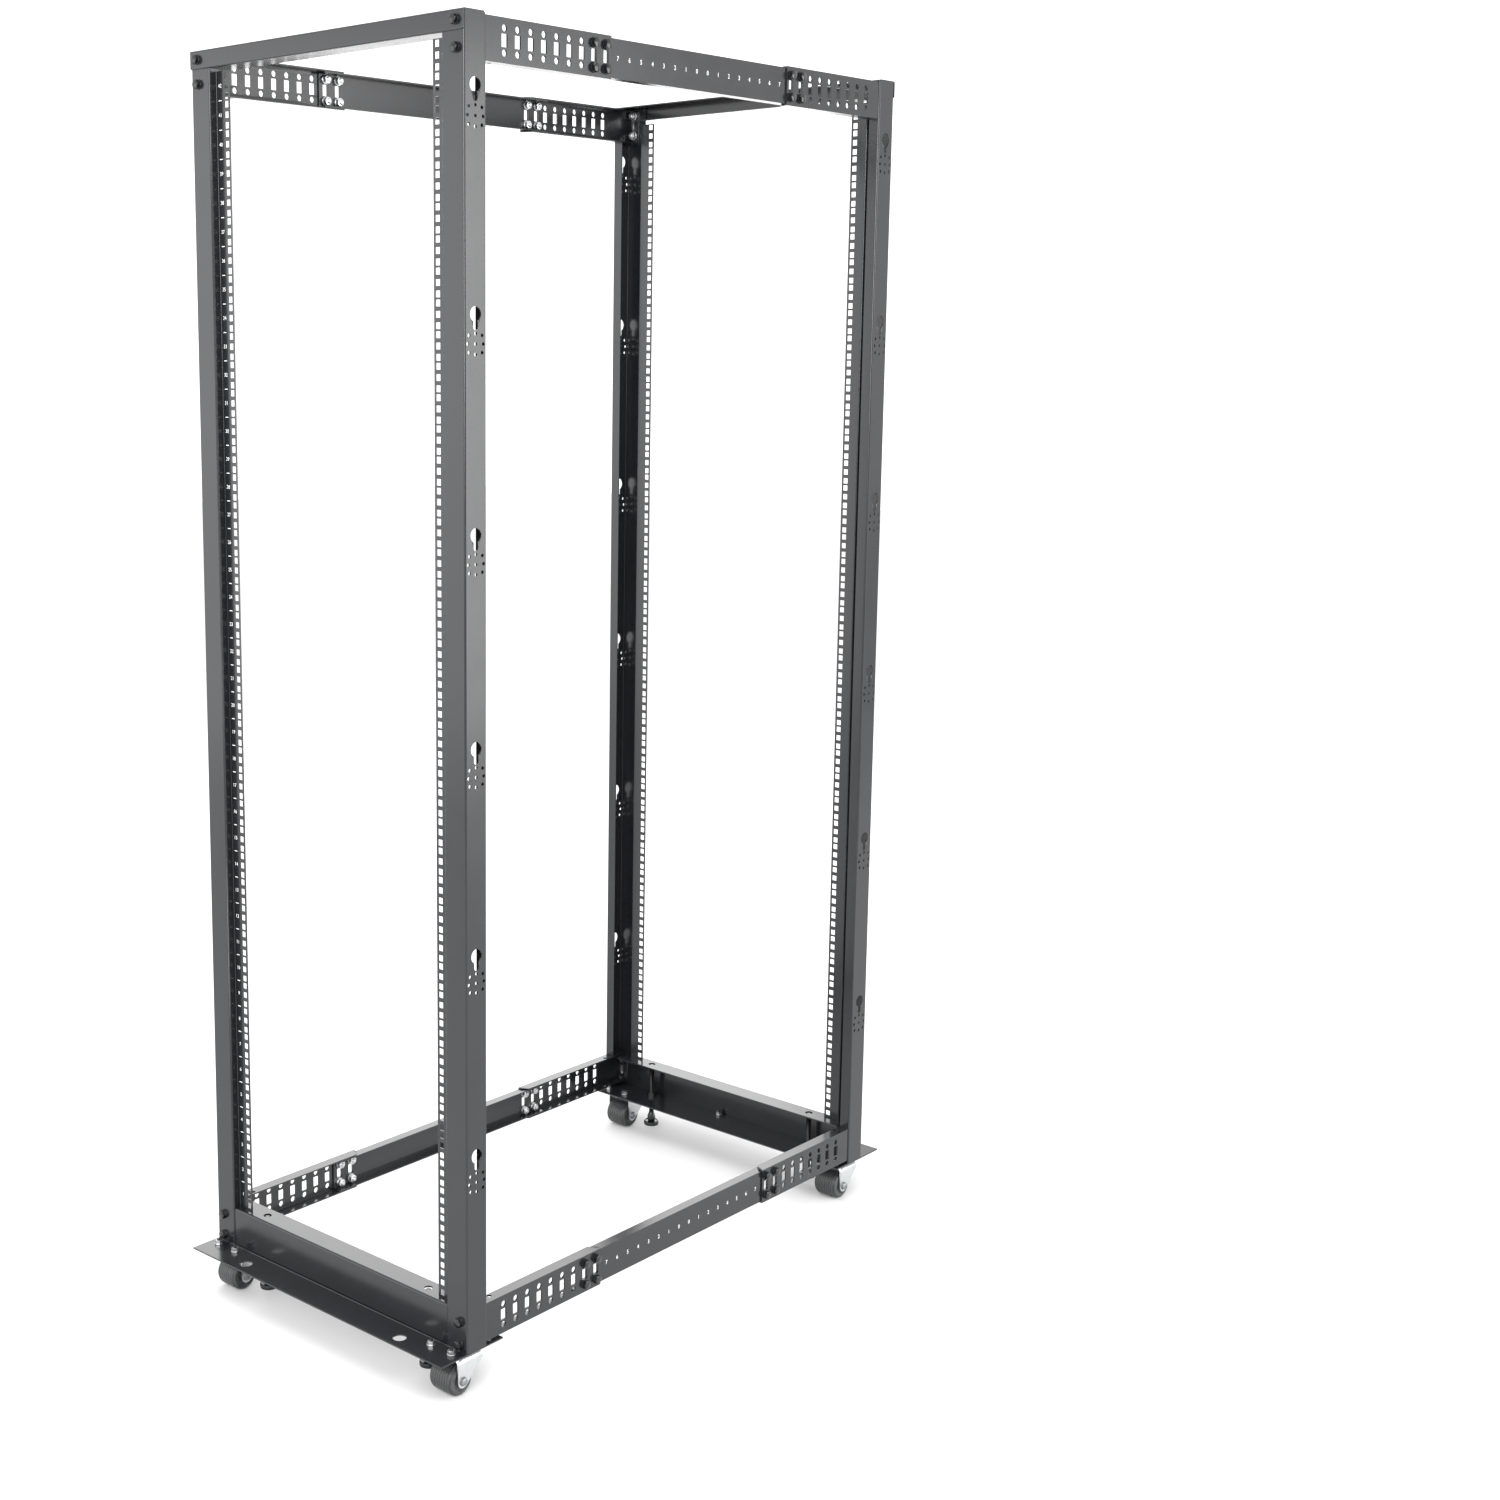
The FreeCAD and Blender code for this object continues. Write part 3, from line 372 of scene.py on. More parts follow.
# Each lamp's place, what it faces and its side in millimetres, and its power in watts.
LAMPS = {
    "right_lamp": ((4450, 2250, 1250), (0, 0, 1000), 3000, 145),
    "left_lamp": ((-3200, -4100, 1300), (0, 0, 1000), 3000, 45),
    "bend_lamp": ((1700, -3600, 2400), (0, 0, 1000), 2200, 140),
    "top_lamp": ((-600, -1500, 5200), (0, 0, 0), 3000, 90),
    "flange_lamp": ((-3400, 3300, 2500), (0, 0, 140), 3000, 60),
}


def white_sky(strength):
    world = bpy.data.worlds.new("white_sky")
    world.use_nodes = True
    sky = world.node_tree.nodes["Background"]
    sky.inputs["Color"].default_value = paint("#FFFFFF")
    sky.inputs["Strength"].default_value = strength
    bpy.context.scene.world = world


def soft_lamp(name, place, target, size, power):
    """A square soft light at one place, turned to face another."""
    data = bpy.data.lights.new(name, "AREA")
    data.shape = "SQUARE"
    data.size = size * MM
    data.energy = power
    lamp = bpy.data.objects.new(name, data)
    lamp.location = at(*place)
    aim = at(*target) - lamp.location
    lamp.rotation_euler = aim.to_track_quat("-Z", "Y").to_euler()
    bpy.context.scene.collection.objects.link(lamp)


white_sky(SKY_STRENGTH)
for name, (place, target, size, power) in LAMPS.items():
    soft_lamp(name, place, target, size, power)
bpy.context.scene.view_settings.view_transform = "Standard"
print("lamps:", ", ".join(LAMPS))

# %% [markdown]
# ## Turning a bmesh into a piece of the rack
#
# Every new piece is modelled in a bmesh, in metres and in its place. One function gives it its
# finish, marks edges sharper than the bends as sharp, and lets it ride on a body of the rack.
# Two more help with folded sheet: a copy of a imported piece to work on, and holes cut out of it.

# %% Piece helpers
BEND_ANGLE = math.radians(32)
SEAM_GAP = 0.002


def finish_mesh(bm, name, finish):
    """A mesh with soft bends and crisp cut edges."""
    mesh = bpy.data.meshes.new(name)
    bm.to_mesh(mesh)
    bm.free()
    mesh.shade_smooth()
    mesh.set_sharp_from_angle(angle=BEND_ANGLE)
    mesh.materials.append(finish)
    return mesh


def add_piece(bm, name, finish, body):
    """A finished bmesh as a named piece that rides on a body."""
    piece = bpy.data.objects.new(name, finish_mesh(bm, name, finish))
    bpy.context.scene.collection.objects.link(piece)
    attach(piece, body)
    return piece


def even_shading(piece):
    """Let the broad flat faces rule the shading, so that a bend's light stays in the bend."""
    weighted = piece.modifiers.new("even_shading", "WEIGHTED_NORMAL")
    weighted.keep_sharp = True


def copy_of(node):
    """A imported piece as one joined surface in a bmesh."""
    bm = bmesh.new()
    bm.from_mesh(frame["nodes"][node].data)
    bmesh.ops.remove_doubles(bm, verts=bm.verts, dist=SEAM_GAP * MM)
    return bm


# %% Rods and cuts
def add_rod(bm, start, end, radius, sides):
    """A closed cylinder between two points."""
    along = end - start
    turn = along.to_track_quat("Z", "Y").to_matrix().to_4x4()
    middle = Matrix.Translation((start + end) / 2)
    bmesh.ops.create_cone(bm, cap_ends=True, segments=sides, radius1=radius, radius2=radius,
                          depth=along.length, matrix=middle @ turn)


def cut_away(bm, cutter):
    """The first bmesh without what the second one holds."""
    body_mesh = bpy.data.meshes.new("work_body")
    bm.to_mesh(body_mesh)
    bm.free()
    cutter_mesh = bpy.data.meshes.new("work_cutter")
    cutter.to_mesh(cutter_mesh)
    cutter.free()
    work = bpy.data.objects.new("work_body", body_mesh)
    tool = bpy.data.objects.new("work_cutter", cutter_mesh)
    for item in (work, tool):
        bpy.context.scene.collection.objects.link(item)
    cut = work.modifiers.new("cut", "BOOLEAN")
    cut.object = tool
    cut.operation = "DIFFERENCE"
    cut.solver = "EXACT"
    graph = bpy.context.evaluated_depsgraph_get()
    result = bmesh.new()
    result.from_mesh(work.evaluated_get(graph).to_mesh())
    for item, mesh in ((work, body_mesh), (tool, cutter_mesh)):
        bpy.data.objects.remove(item)
        bpy.data.meshes.remove(mesh)
    return result


def punch_piece(node, holes):
    """A packed sheet metal piece of the rack with more holes in it."""
    piece = add_piece(cut_away(copy_of(node), holes), node + "_punched", POWDER_COAT,
                      "rack")
    even_shading(piece)
    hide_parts(node)
    return piece


# %% [markdown]
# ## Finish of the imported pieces
#
# Pieces whose shape is already right keep their own mesh and only get their finish, slot by slot.

# %% Finish by slot
FINISHES = {
    "black_coat": POWDER_COAT,
    "zinc_plate": ZINC,
    "dark_steel": BLACK_OXIDE,
    "black_nylon": NYLON,
}
for entry in frame["record"]["subparts"]:
    node = frame["nodes"][entry["node"]]
    node.data.materials.clear()
    node.data.materials.append(FINISHES[entry["material_slot"]])

# %% [markdown]
# ## Templates for bolts, washers and nuts
#
# A hexagon head is turned on its top, so its six corners are cut by a cone and its upper edge
# waves. A circle of points pushed out to the hexagon, raised once to the wavy edge and once more
# to the flat top circle gives just that. Washers and thread ends are profiles spun round an axis.
# Each kind is made once, pointing up from the surface that it sits on, and then stamped.

# %% Turned and six-sided shapes
SAME_POINT = 0.001
HEXAGON_STEPS = 24
HEXAGON_TOP = 0.94
HEXAGON_SLOPE = math.radians(30)


def turn_profile(bm, profile, steps, closed):
    """Points of radius and height spun round the upright axis."""
    points = [bm.verts.new((radius * MM, 0, height * MM)) for radius, height in profile]
    edges = [bm.edges.new(pair) for pair in zip(points, points[1:])]
    if closed:
        edges.append(bm.edges.new((points[-1], points[0])))
    bmesh.ops.spin(bm, geom=points + edges, axis=(0, 0, 1), cent=(0, 0, 0), dvec=(0, 0, 0),
                   angle=2 * math.pi, steps=steps, use_merge=True, use_duplicate=False)
    bmesh.ops.remove_doubles(bm, verts=bm.verts, dist=SAME_POINT * MM)
    bmesh.ops.recalc_face_normals(bm, faces=bm.faces)


def add_hexagon(bm, flats, low, high):
    """A hexagon prism whose upper corners are turned off."""
    half = flats * MM / 2
    flat_top = half * HEXAGON_TOP
    made = bmesh.ops.create_circle(bm, cap_ends=True, segments=HEXAGON_STEPS, radius=half,
                                   matrix=Matrix.Translation((0, 0, low * MM)))
    ring = made["verts"]
    for vert in ring:
        turn = math.atan2(vert.co.y, vert.co.x)
        from_flat = (turn + math.pi / 6) % (math.pi / 3) - math.pi / 6
        vert.co.xy /= math.cos(from_flat)
    cap = ring[0].link_faces[0]
    for level in ("edge", "top"):
        out = bmesh.ops.extrude_face_region(bm, geom=[cap])["geom"]
        cap = [item for item in out if isinstance(item, bmesh.types.BMFace)][0]
        for vert in cap.verts:
            reach = vert.co.xy.length
            if level == "edge":
                vert.co.z = high * MM - (reach - flat_top) * math.tan(HEXAGON_SLOPE)
            else:
                vert.co.xy *= flat_top / reach
                vert.co.z = high * MM
    bmesh.ops.recalc_face_normals(bm, faces=bm.faces)


def as_template(name, *builders):
    """One mesh that holds several shapes, each made in a bmesh of its own."""
    joined = bmesh.new()
    for build in builders:
        part = bmesh.new()
        build(part)
        mesh = bpy.data.meshes.new(name)
        part.to_mesh(mesh)
        part.free()
        joined.from_mesh(mesh)
        bpy.data.meshes.remove(mesh)
    template = bpy.data.meshes.new(name)
    joined.to_mesh(template)
    joined.free()
    return template


# %% Sections of washers and thread ends
THREAD_ROOT = 0.88
TIP = 0.6
TIP_RATIO = 0.7
TIP_ROOM = 0.8


def ring_profile(inner, outer, low, high, chamfer=0.25):
    """The section of a washer with its outer edges broken."""
    return [(inner, low), (outer - chamfer, low), (outer, low + chamfer),
            (outer, high - chamfer), (outer - chamfer, high), (inner, high)]


def thread_end(radius, low, high, pitch):
    """The section of a bolt's end: a few thread crests and a chamfered tip."""
    root = radius * THREAD_ROOT
    points = [(0, low), (root, low)]
    count = max(1, int((high - low - TIP_ROOM) / pitch))
    for crest in range(count):
        base = low + crest * pitch
        points += [(radius, base + pitch / 2), (root, base + pitch)]
    points += [(root, high - TIP), (radius * TIP_RATIO, high), (0, high)]
    return points


# %% Bolt templates
WASHER = 1.6
WASHER_BORE = 3.5
WASHER_RADIUS = 8.0
WASHER_STEPS = 24
HEAD_FLATS = 13.0
HEAD_TOP = WASHER + 5.3
NUT_TOP = WASHER + 6.5
BOLT_RADIUS = 4.0
BOLT_PITCH = 1.25
BOLT_REACH = 3.0
BOLT_STEPS = 16
washer_section = ring_profile(WASHER_BORE, WASHER_RADIUS, 0.0, WASHER)

bolt_head = as_template(
    "bolt_head",
    lambda bm: turn_profile(bm, washer_section, WASHER_STEPS, True),
    lambda bm: add_hexagon(bm, HEAD_FLATS, WASHER, HEAD_TOP))
bolt_nut = as_template(
    "bolt_nut",
    lambda bm: turn_profile(bm, washer_section, WASHER_STEPS, True),
    lambda bm: add_hexagon(bm, HEAD_FLATS, WASHER, NUT_TOP),
    lambda bm: turn_profile(bm, thread_end(BOLT_RADIUS, NUT_TOP - 1, NUT_TOP + BOLT_REACH,
                                           BOLT_PITCH), BOLT_STEPS, False))
print("bolt head faces:", len(bolt_head.polygons), "nut faces:", len(bolt_nut.polygons))

# %% Stamp a template
HEAD_TURN = 37.0


def stamp(bm, template, place, outward, turn=0.0):
    """A copy of a template set at a place in millimetres, its axis along outward."""
    aim = Vector(outward).to_track_quat("Z", "Y").to_matrix().to_4x4()
    spin = Matrix.Rotation(math.radians(turn), 4, "Z")
    first = len(bm.verts)
    bm.from_mesh(template)
    bm.verts.ensure_lookup_table()
    bmesh.ops.transform(bm, matrix=Matrix.Translation(at(*place)) @ aim @ spin,
                        verts=bm.verts[first:])


def add_bolts(name, places, outward, head, nut, grip, finishes):
    """Bolts through one joint: heads on the outer side and nuts on the inner side."""
    heads, nuts = bmesh.new(), bmesh.new()
    inward = -Vector(outward)
    for number, place in enumerate(places):
        turn = (number + 1) * HEAD_TURN
        stamp(heads, head, place, outward, turn)
        stamp(nuts, nut, Vector(place) + inward * grip, inward, turn * 2)
    add_piece(heads, name + "_bolts", finishes[0], "rack")
    add_piece(nuts, name + "_nuts", finishes[1], "rack")


# %% [markdown]
# ## Posts with their pin holes
#
# Under each keyhole the side web has nine small holes, where a cable manager or a power strip is
# pinned. They are punched through the sheet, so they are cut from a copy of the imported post.

# %% Drill the posts
KEYHOLE_FIRST = UNIT_BASE + 244.2
KEYHOLE_STEP = UNIT * 7
KEYHOLES = 6
PIN_DROP = 41.5
PIN_HOLE = 2.8
PIN_STEPS = 12
PIN_PATTERN = [(0, 0), (0, 14.6), (0, -14.6), (15.6, 0), (-15.6, 0),
               (13.2, 12), (13.2, -12), (-13.2, 12), (-13.2, -12)]
KEYHOLE_INSET = 22.0
PUNCH_IN = 6.0
PUNCH_OUT = 4.0


def add_punch(bm, side, outer, y, z, radius, steps):
    """A rod across a side wall whose outer face is given, for one round hole."""
    add_rod(bm, at(side * (outer - PUNCH_IN), y, z), at(side * (outer + PUNCH_OUT), y, z),
            radius * MM, steps)


def drill_post(corner, side, end):
    holes = bmesh.new()
    middle_y = end * (HALF_DEPTH - KEYHOLE_INSET)
    for number in range(KEYHOLES):
        middle_z = KEYHOLE_FIRST + KEYHOLE_STEP * number - PIN_DROP
        for along, up in PIN_PATTERN:
            add_punch(holes, side, HALF_WIDTH, middle_y + along, middle_z + up,
                      PIN_HOLE, PIN_STEPS)
    return punch_piece(corner + "_post", holes)


for corner, (side, end) in CORNERS.items():
    punched = drill_post(corner, side, end)
print("faces of a punched post:", len(punched.data.polygons))

# %% [markdown]
# ## Side brackets with their round holes
#
# Between the slots of a bracket's web there are round holes above and below, where the web isn't
# covered by the middle rail's bolts. They are cut in the same way.

# %% Drill the brackets
SLOT_PITCH = 27.2
FIRST_SLOT = HALF_DEPTH - 82.9
SLOT_COUNT = 9
FREE_SLOTS = 7
ROUND_HOLE = 4.9
ROUND_OFFSET = 16.9
ROUND_STEPS = 16


def side_wall(node):
    """How far out a side piece's wall lies, and the height of its middle."""
    low, high = box_mm(node)
    return max(abs(low.x), abs(high.x)), (low.z + high.z) / 2


def drill_bracket(node, side, end):
    outer, middle_z = side_wall(node)
    holes = bmesh.new()
    for number in range(FREE_SLOTS):
        y = end * (FIRST_SLOT - SLOT_PITCH * number)
        for up in (-ROUND_OFFSET, ROUND_OFFSET):
            add_punch(holes, side, outer, y, middle_z + up, ROUND_HOLE, ROUND_STEPS)
    return punch_piece(node, holes)


for corner, (side, end) in CORNERS.items():
    for level in ("upper", "lower"):
        punched = drill_bracket(f"{corner}_{level}_bracket", side, end)
print("faces of a punched bracket:", len(punched.data.polygons))

# %% [markdown]
# ## Bolts that hold the frame together
#
# Two bolts at each end of a post go through its face into the bracket's tab: the upper one at the
# top also holds the top bar. Four bolts join each bracket to the middle rail. Heads are black. The
# nuts inside are bright zinc, but for those at the posts' feet, which are black too.

# %% Corner bolts and rail bolts
CORNER_BOLT_X = 284.0
BAR_SHEET = 2.0
# For each end of a post, each bolt's height and the sheet between its head and the post.
CORNER_BOLTS = {
    "upper": ((POST_TOP - 12.0, BAR_SHEET), (POST_TOP - 49.0, 0.0)),
    "lower": ((POST_FOOT + 47.5, 0.0), (POST_FOOT + 11.0, 0.0)),
}
TAB_INSIDE = {"upper": 4.5, "lower": 7.0}
CORNER_NUT = {"upper": (ZINC, "zinc_plate"), "lower": (BLACK_OXIDE, "dark_steel")}
RAIL_BOLT_OFFSET = 17.5
RAIL_INSIDE = 5.0


def bolt_corner(corner, side, end):
    """Bolts through a post's face; grips run from the head's seat to the tab's inner face."""
    for level, bolts in CORNER_BOLTS.items():
        for order, (height, bar) in enumerate(bolts):
            place = (side * CORNER_BOLT_X, end * (HALF_DEPTH + bar), height)
            add_bolts(f"{corner}_{level}_corner_{order}", [place], (0, end, 0),
                      bolt_head, bolt_nut, TAB_INSIDE[level] + bar,
                      (BLACK_OXIDE, CORNER_NUT[level][0]))


def bolt_rail(corner, level, side, end):
    outer, middle_z = side_wall(f"{corner}_{level}_bracket")
    places = []
    for number in (FREE_SLOTS, SLOT_COUNT - 1):
        for up in (RAIL_BOLT_OFFSET, -RAIL_BOLT_OFFSET):
            y = end * (FIRST_SLOT - SLOT_PITCH * number)
            places.append((side * outer, y, middle_z + up))
    add_bolts(f"{corner}_{level}_rail", places, (side, 0, 0), bolt_head, bolt_nut,
              RAIL_INSIDE, (BLACK_OXIDE, ZINC))


for corner, (side, end) in CORNERS.items():
    bolt_corner(corner, side, end)
    for level in ("upper", "lower"):
        bolt_rail(corner, level, side, end)

# %% [markdown]
# ## Caster bolts
#
# Four bolts come up through each caster plate and the beam's bottom plate. Their heads are below,
# and on the ledge stand a washer, a bright nut and the dark end of the thread.

# %% Caster bolts
CASTER_HOLES = (22.0, 36.0)
CASTER_SHEET = 3.0
SMALL_WASHER = 1.0
SMALL_BORE = 2.6
SMALL_CHAMFER = 0.2
SMALL_STEPS = 20
SMALL_HEAD_TOP = SMALL_WASHER + 3.2
SMALL_NUT_TOP = SMALL_WASHER + 5.5
SMALL_RADIUS = 3.0
SMALL_REACH = 9.5
SMALL_PITCH = 1.0


def small_washer(bm, radius):
    turn_profile(bm, ring_profile(SMALL_BORE, radius, 0.0, SMALL_WASHER, SMALL_CHAMFER),
                 SMALL_STEPS, True)


small_head = as_template(
    "caster_head",
    lambda bm: small_washer(bm, 6.4),
    lambda bm: add_hexagon(bm, 10.0, SMALL_WASHER, SMALL_HEAD_TOP))
small_nut = as_template(
    "caster_nut",
    lambda bm: small_washer(bm, 7.0),
    lambda bm: add_hexagon(bm, 11.0, SMALL_WASHER, SMALL_NUT_TOP))
small_end = as_template(
    "caster_thread",
    lambda bm: turn_profile(bm, thread_end(SMALL_RADIUS, SMALL_NUT_TOP - 0.5, SMALL_REACH,
                                           SMALL_PITCH), BOLT_STEPS, False))


def bolt_caster(corner):
    low, high = box_mm(corner + "_caster_plate")
    middle = (low + high) / 2
    bright, dark = bmesh.new(), bmesh.new()
    for across in (-1, 1):
        for along in (-1, 1):
            x = middle.x + across * CASTER_HOLES[0]
            y = middle.y + along * CASTER_HOLES[1]
            turn = HEAD_TURN * (across + 2 * along)
            stamp(bright, small_nut, (x, y, PLATE_TOP), (0, 0, 1), turn)
            stamp(dark, small_end, (x, y, PLATE_TOP), (0, 0, 1))
            stamp(bright, small_head, (x, y, high.z - CASTER_SHEET), (0, 0, -1), turn * 2)
    add_piece(bright, corner + "_caster_bolts", ZINC, "rack")
    add_piece(dark, corner + "_caster_threads", BLACK_OXIDE, "rack")


for corner in CORNERS:
    bolt_caster(corner)
print("small nut faces:", len(small_nut.polygons))

# %% [markdown]
# ## Earthing bolts and the beams' seams
#
# Near the middle of each base beam one bright nut stands on the bottom plate: the earth wire goes
# there. The web meets the ledge in a thin welded seam that catches the light.

# %% Earthing bolts and seams
EARTH_X = 28.0
EARTH_Y = 520.0
SEAM_RADIUS = 1.3
SEAM_STEPS = 12
SEAM_END = 296.0


def earth_beam(name, end):
    nut, thread, seam = bmesh.new(), bmesh.new(), bmesh.new()
    place = (-end * EARTH_X, end * EARTH_Y, PLATE_TOP)
    stamp(nut, small_nut, place, (0, 0, 1), HEAD_TURN)
    stamp(thread, small_end, place, (0, 0, 1))
    foot = end * HALF_DEPTH
    add_rod(seam, at(-SEAM_END, foot, PLATE_TOP), at(SEAM_END, foot, PLATE_TOP),
            SEAM_RADIUS * MM, SEAM_STEPS)
    bmesh.ops.recalc_face_normals(seam, faces=seam.faces)
    add_piece(nut, name + "_earth_nut", ZINC, "rack")
    add_piece(thread, name + "_earth_thread", BLACK_OXIDE, "rack")
    add_piece(seam, name + "_seam", POWDER_COAT, "rack")


for name, end in (("front_beam", -1), ("rear_beam", 1)):
    earth_beam(name, end)
print("seams run from", -SEAM_END, "to", SEAM_END)

# %% [markdown]
# ## Forks and axles
#
# A fork is one strip of steel, bent down at both sides of its crown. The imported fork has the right
# outline with square bends, so a copy of it gets its two bends rounded, outside and inside. The
# axle is a bolt with a washer and a turned head at each end.

# %% Forks
FORK_BEND = 6.0
FORK_SHEET = 2.5
BEND_STEPS = 5
NEAR = 0.05


def press_fork(corner):
    """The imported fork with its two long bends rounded."""
    node = corner + "_caster_fork"
    low, high = box_mm(node)
    middle = (low + high) / 2
    half = (high.x - low.x) / 2
    fork = copy_of(node)
    for inset, bend in ((0.0, FORK_BEND), (FORK_SHEET, FORK_BEND - FORK_SHEET)):
        edges = []
        for edge in fork.edges:
            spots = [vert.co / MM for vert in edge.verts]
            level = all(abs(spot.z - (high.z - inset)) < NEAR for spot in spots)
            beside = all(abs(abs(spot.x - middle.x) - (half - inset)) < NEAR for spot in spots)
            if level and beside and abs(spots[0].x - spots[1].x) < NEAR:
                edges.append(edge)
        bmesh.ops.bevel(fork, geom=edges, offset=bend * MM, segments=BEND_STEPS, profile=0.5,
                        affect="EDGES", material=-1)
    piece = add_piece(fork, node + "_pressed", ZINC, corner + "_fork")
    even_shading(piece)
    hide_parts(node)
    return piece


for corner in CORNERS:
    fork_piece = press_fork(corner)
print("faces of a fork:", len(fork_piece.data.polygons))

# %% Axles
AXLE_RADIUS = 4.0
AXLE_STEPS = 24
AXLE_TIP = 0.3
AXLE_CHAMFER = 0.5
AXLE_WASHER = 0.9
AXLE_WASHER_RADIUS = 7.4
AXLE_WASHER_STEPS = 28
AXLE_FLATS = 11.5
AXLE_HEAD_INSET = 0.4


def make_axle(corner):
    """Axle bolt: shank, and a washer and a turned six-sided head against each leg."""
    node = corner + "_caster_axle"
    low, high = box_mm(node)
    fork_low, fork_high = box_mm(corner + "_caster_fork")
    leg = (fork_high.x - fork_low.x) / 2
    reach = (high.x - low.x) / 2
    washer = ring_profile(WASHER_BORE, AXLE_WASHER_RADIUS, leg, leg + AXLE_WASHER,
                          SMALL_CHAMFER)
    shank = [(0, 0), (AXLE_RADIUS, 0), (AXLE_RADIUS, reach - AXLE_TIP),
             (AXLE_RADIUS - AXLE_CHAMFER, reach), (0, reach)]
    head = as_template(
        node,
        lambda bm: turn_profile(bm, washer, AXLE_WASHER_STEPS, True),
        lambda bm: add_hexagon(bm, AXLE_FLATS, leg + AXLE_WASHER, reach - AXLE_HEAD_INSET),
        lambda bm: turn_profile(bm, shank, AXLE_STEPS, False))
    axle = bmesh.new()
    for outward in (-1, 1):
        stamp(axle, head, (low + high) / 2, (outward, 0, 0), HEAD_TURN)
    # The axle takes the zinc whose greyer colour is painted shade.
    piece = add_piece(axle, node + "_turned", ZINC_WITH_PAINTED_SHADE, corner + "_fork")
    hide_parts(node)
    return piece


for corner in CORNERS:
    axle_piece = make_axle(corner)
print("faces of an axle:", len(axle_piece.data.polygons))

# %% [markdown]
# ## Wheels
#
# A wheel is turned from one block: a wide tread with well rounded edges, a shallow groove in each
# side and a hub that meets the fork. Its section, with both edges of the tread as quarter circles,
# is spun round the axle: the same thing as the lathe does.

# %% Wheels
WHEEL_ROUNDING = 7.0
ROUNDING_STEPS = 8
WHEEL_STEPS = 72
HUB_PROUD = 0.95
# The hub and the groove: radius and depth, the first two under the hub's face, the rest under the
# tread's side.
HUB_FACE = [(4.1, 0.0), (8.6, 0.0), (9.0, 0.4)]
GROOVE = [(9.4, 1.4), (15.0, 1.4), (15.8, 0.0)]


def make_wheel(corner):
    node = corner + "_caster_wheel"
    low, high = box_mm(node)
    radius = (high.z - low.z) / 2 - WHEEL_ROUNDING
    hub = (high.x - low.x) / 2
    side = hub - HUB_PROUD
    half = [(r, hub - deep) for r, deep in HUB_FACE] + [(r, side - deep) for r, deep in GROOVE]
    for step in range(ROUNDING_STEPS + 1):
        turn = math.radians(90 * step / ROUNDING_STEPS)
        half.append((radius + WHEEL_ROUNDING * math.sin(turn),
                     side - WHEEL_ROUNDING + WHEEL_ROUNDING * math.cos(turn)))
    other = [(r, -x) for r, x in reversed(half)]
    wheel = bmesh.new()
    turn_profile(wheel, half + other, WHEEL_STEPS, True)
    lay = Matrix.Rotation(math.radians(90), 4, "Y")
    middle = (low + high) / 2 * MM
    bmesh.ops.transform(wheel, matrix=Matrix.Translation(middle) @ lay, verts=wheel.verts)
    piece = add_piece(wheel, node + "_turned", NYLON, corner + "_wheel")
    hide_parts(node)
    return piece


for corner in CORNERS:
    wheel_piece = make_wheel(corner)
print("faces of a wheel:", len(wheel_piece.data.polygons))

# %% [markdown]
# ## Levelling feet
#
# A levelling foot is a pad with a raised rim and an egg-shaped socket on a threaded stud. The
# thread is one turn of a V shaped ridge, spun upwards turn after turn.

# %% Levelling feet
STUD_PITCH = 1.5
STUD_RADIUS = 5.0
STUD_ROOT = 4.4
THREAD_STEPS = 16
# Sections as radius and height over the floor side of the pad.
PAD_SECTION = [(0, 0), (13.4, 0), (14.6, 0.5), (15, 1.7), (15, 6.2), (14.5, 7.8), (13.3, 8.6),
               (12.0, 8.4), (11.0, 7.6), (0, 7.6)]
SOCKET_SECTION = [(0, 7), (6.3, 7), (7.4, 9.6), (8.0, 12.6), (8.1, 15.6), (7.6, 19),
                  (6.6, 22.4), (5.5, 25.2), (4.9, 27), (0, 27)]
# The stud's end as radius and depth under its top.
STUD_END = [(0, 4), (4.3, 4), (4.3, 1), (3.4, 0), (0, 0)]
THREAD_FOOT = 26.0
THREAD_DROP = 1.5
FOOT_NUT_FLATS = 17.0
FOOT_NUT_HEIGHT = 8.0
FOOT_NUT_TURN = 12.0


def add_thread(bm, low, high):
    """A closed screw thread between two heights."""
    points = [bm.verts.new((radius * MM, 0, (low + rise) * MM)) for radius, rise in
              ((STUD_ROOT, 0), (STUD_RADIUS, STUD_PITCH / 2), (STUD_ROOT, STUD_PITCH))]
    edges = [bm.edges.new(pair) for pair in zip(points, points[1:])]
    turns = int((high - low) / STUD_PITCH) - 1
    bmesh.ops.spin(bm, geom=points + edges, axis=(0, 0, 1), cent=(0, 0, 0),
                   dvec=(0, 0, STUD_PITCH * MM / THREAD_STEPS), angle=2 * math.pi * turns,
                   steps=THREAD_STEPS * turns, use_merge=False, use_duplicate=False)
    bmesh.ops.remove_doubles(bm, verts=bm.verts, dist=SAME_POINT * MM)
    bmesh.ops.holes_fill(bm, edges=[edge for edge in bm.edges if edge.is_boundary], sides=0)
    bmesh.ops.recalc_face_normals(bm, faces=bm.faces)


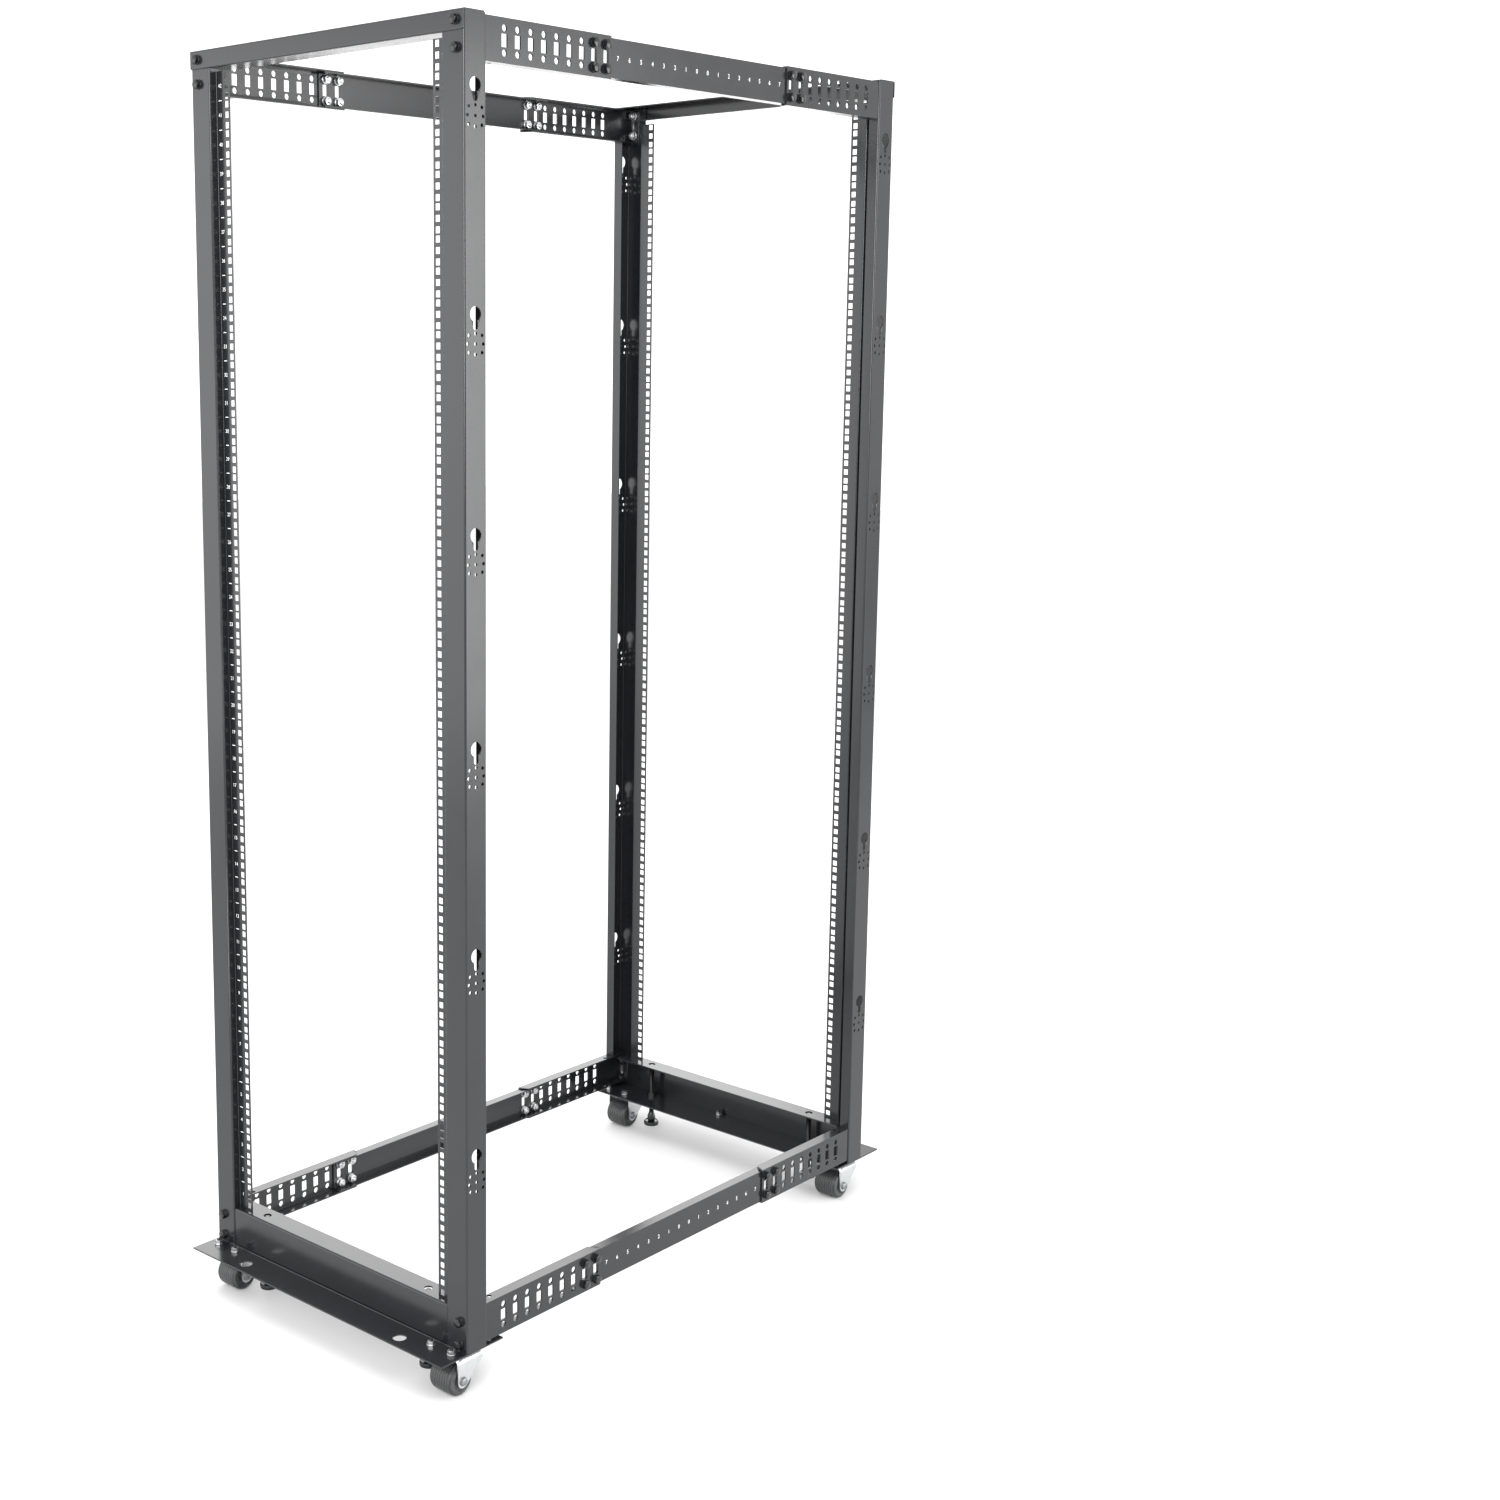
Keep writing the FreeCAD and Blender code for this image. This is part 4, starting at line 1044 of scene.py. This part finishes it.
def make_foot(corner):
    node = corner + "_levelling_foot"
    low, high = box_mm(node)
    middle = (low + high) / 2
    pad = [(r, low.z + z) for r, z in PAD_SECTION]
    socket = [(r, low.z + z) for r, z in SOCKET_SECTION]
    stud_end = [(r, high.z - deep) for r, deep in STUD_END]
    template = as_template(
        node,
        lambda bm: turn_profile(bm, pad, 40, False),
        lambda bm: turn_profile(bm, socket, 32, False),
        lambda bm: add_thread(bm, low.z + THREAD_FOOT, high.z - THREAD_DROP),
        lambda bm: turn_profile(bm, stud_end, 20, False),
        lambda bm: add_hexagon(bm, FOOT_NUT_FLATS, PLATE_TOP, PLATE_TOP + FOOT_NUT_HEIGHT))
    nut = as_template(node + "_nut",
                      lambda bm: add_hexagon(bm, FOOT_NUT_FLATS, 0, FOOT_NUT_HEIGHT))
    foot = bmesh.new()
    stamp(foot, template, (middle.x, middle.y, 0), (0, 0, 1))
    stamp(foot, nut, (middle.x, middle.y, BEAM_UNDER), (0, 0, -1), FOOT_NUT_TURN)
    piece = add_piece(foot, node + "_threaded", BLACK_OXIDE, "rack")
    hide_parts(node)
    return piece


for corner in CORNERS:
    foot_piece = make_foot(corner)
print("faces of a foot:", len(foot_piece.data.polygons))

# %% [markdown]
# ## Printed numbers
#
# Unit numbers run up each mounting flange beside the holes, with a dash at each unit's border, and
# depth numbers run out both ways from the middle of each side rail. Ink has nearly no thickness:
# each character is a thin plate half sunk in the coat.

# %% Lettering
INK_HEIGHT = 0.06
FONT_CAP = 0.72
LETTER_STEPS = 3


def lay_character(bm, word, cap, place, right):
    """One printed word, its middle at a place, reading along the given direction."""
    curve = bpy.data.curves.new("word", "FONT")
    curve.body = word
    curve.size = cap / FONT_CAP * MM
    curve.align_x = "CENTER"
    curve.align_y = "CENTER"
    curve.resolution_u = LETTER_STEPS
    curve.extrude = INK_HEIGHT * MM
    text = bpy.data.objects.new("word", curve)
    mesh = bpy.data.meshes.new_from_object(text)
    up = Vector((0, 0, 1))
    right = Vector(right)
    axes = Matrix((right, up, right.cross(up))).transposed().to_4x4()
    mesh.transform(Matrix.Translation(at(*place)) @ axes)
    bm.from_mesh(mesh)
    bpy.data.objects.remove(text)
    bpy.data.curves.remove(curve)
    bpy.data.meshes.remove(mesh)


def lay_dash(bm, place, size):
    """A printed dash as a thin plate with its size along each axis."""
    made = bmesh.ops.create_cube(bm, size=1.0)
    scale = Matrix.Diagonal((size[0] * MM, size[1] * MM, size[2] * MM, 1))
    bmesh.ops.transform(bm, matrix=Matrix.Translation(at(*place)) @ scale, verts=made["verts"])


# %% Unit numbers
FLANGE_RECESS = 14.0
FLANGE_PLANE = HALF_DEPTH - FLANGE_RECESS
PRINT_X = 247.5
NUMBER_CAP = 6.0
DASH_LENGTH = 7.0
DASH_WIDTH = 1.2


def print_units(corner, side, end):
    ink = bmesh.new()
    x = side * PRINT_X
    y = end * FLANGE_PLANE
    for unit in range(UNITS + 1):
        border = UNIT_BASE + UNIT * unit
        if 0 < unit < UNITS:
            lay_dash(ink, (x, y, border), (DASH_LENGTH, INK_HEIGHT * 2, DASH_WIDTH))
        if unit < UNITS:
            lay_character(ink, str(unit + 1), NUMBER_CAP, (x, y, border + UNIT / 2),
                          (-end, 0, 0))
    add_piece(ink, corner + "_unit_numbers", INK, "rack")


for corner, (side, end) in CORNERS.items():
    print_units(corner, side, end)
print("units printed on each flange:", UNITS)

# %% Depth numbers
DEPTH_STEP = 27.0
DEPTH_FIRST = 13.5
DEPTH_NUMBERS = 8
DEPTH_CAP = 7.0


def print_depths(hand, level, side):
    outer, middle_z = side_wall(f"{hand}_{level}_rail")
    ink = bmesh.new()
    for number in range(DEPTH_NUMBERS):
        for end in (-1, 1):
            y = end * (DEPTH_FIRST + DEPTH_STEP * number)
            lay_character(ink, str(number), DEPTH_CAP, (side * outer, y, middle_z),
                          (0, side, 0))
    add_piece(ink, f"{hand}_{level}_depth_numbers", INK, "rack")


for hand, side in SIDES.items():
    for level in ("upper", "lower"):
        print_depths(hand, level, side)
print("depth numbers on each rail:", DEPTH_NUMBERS * 2)
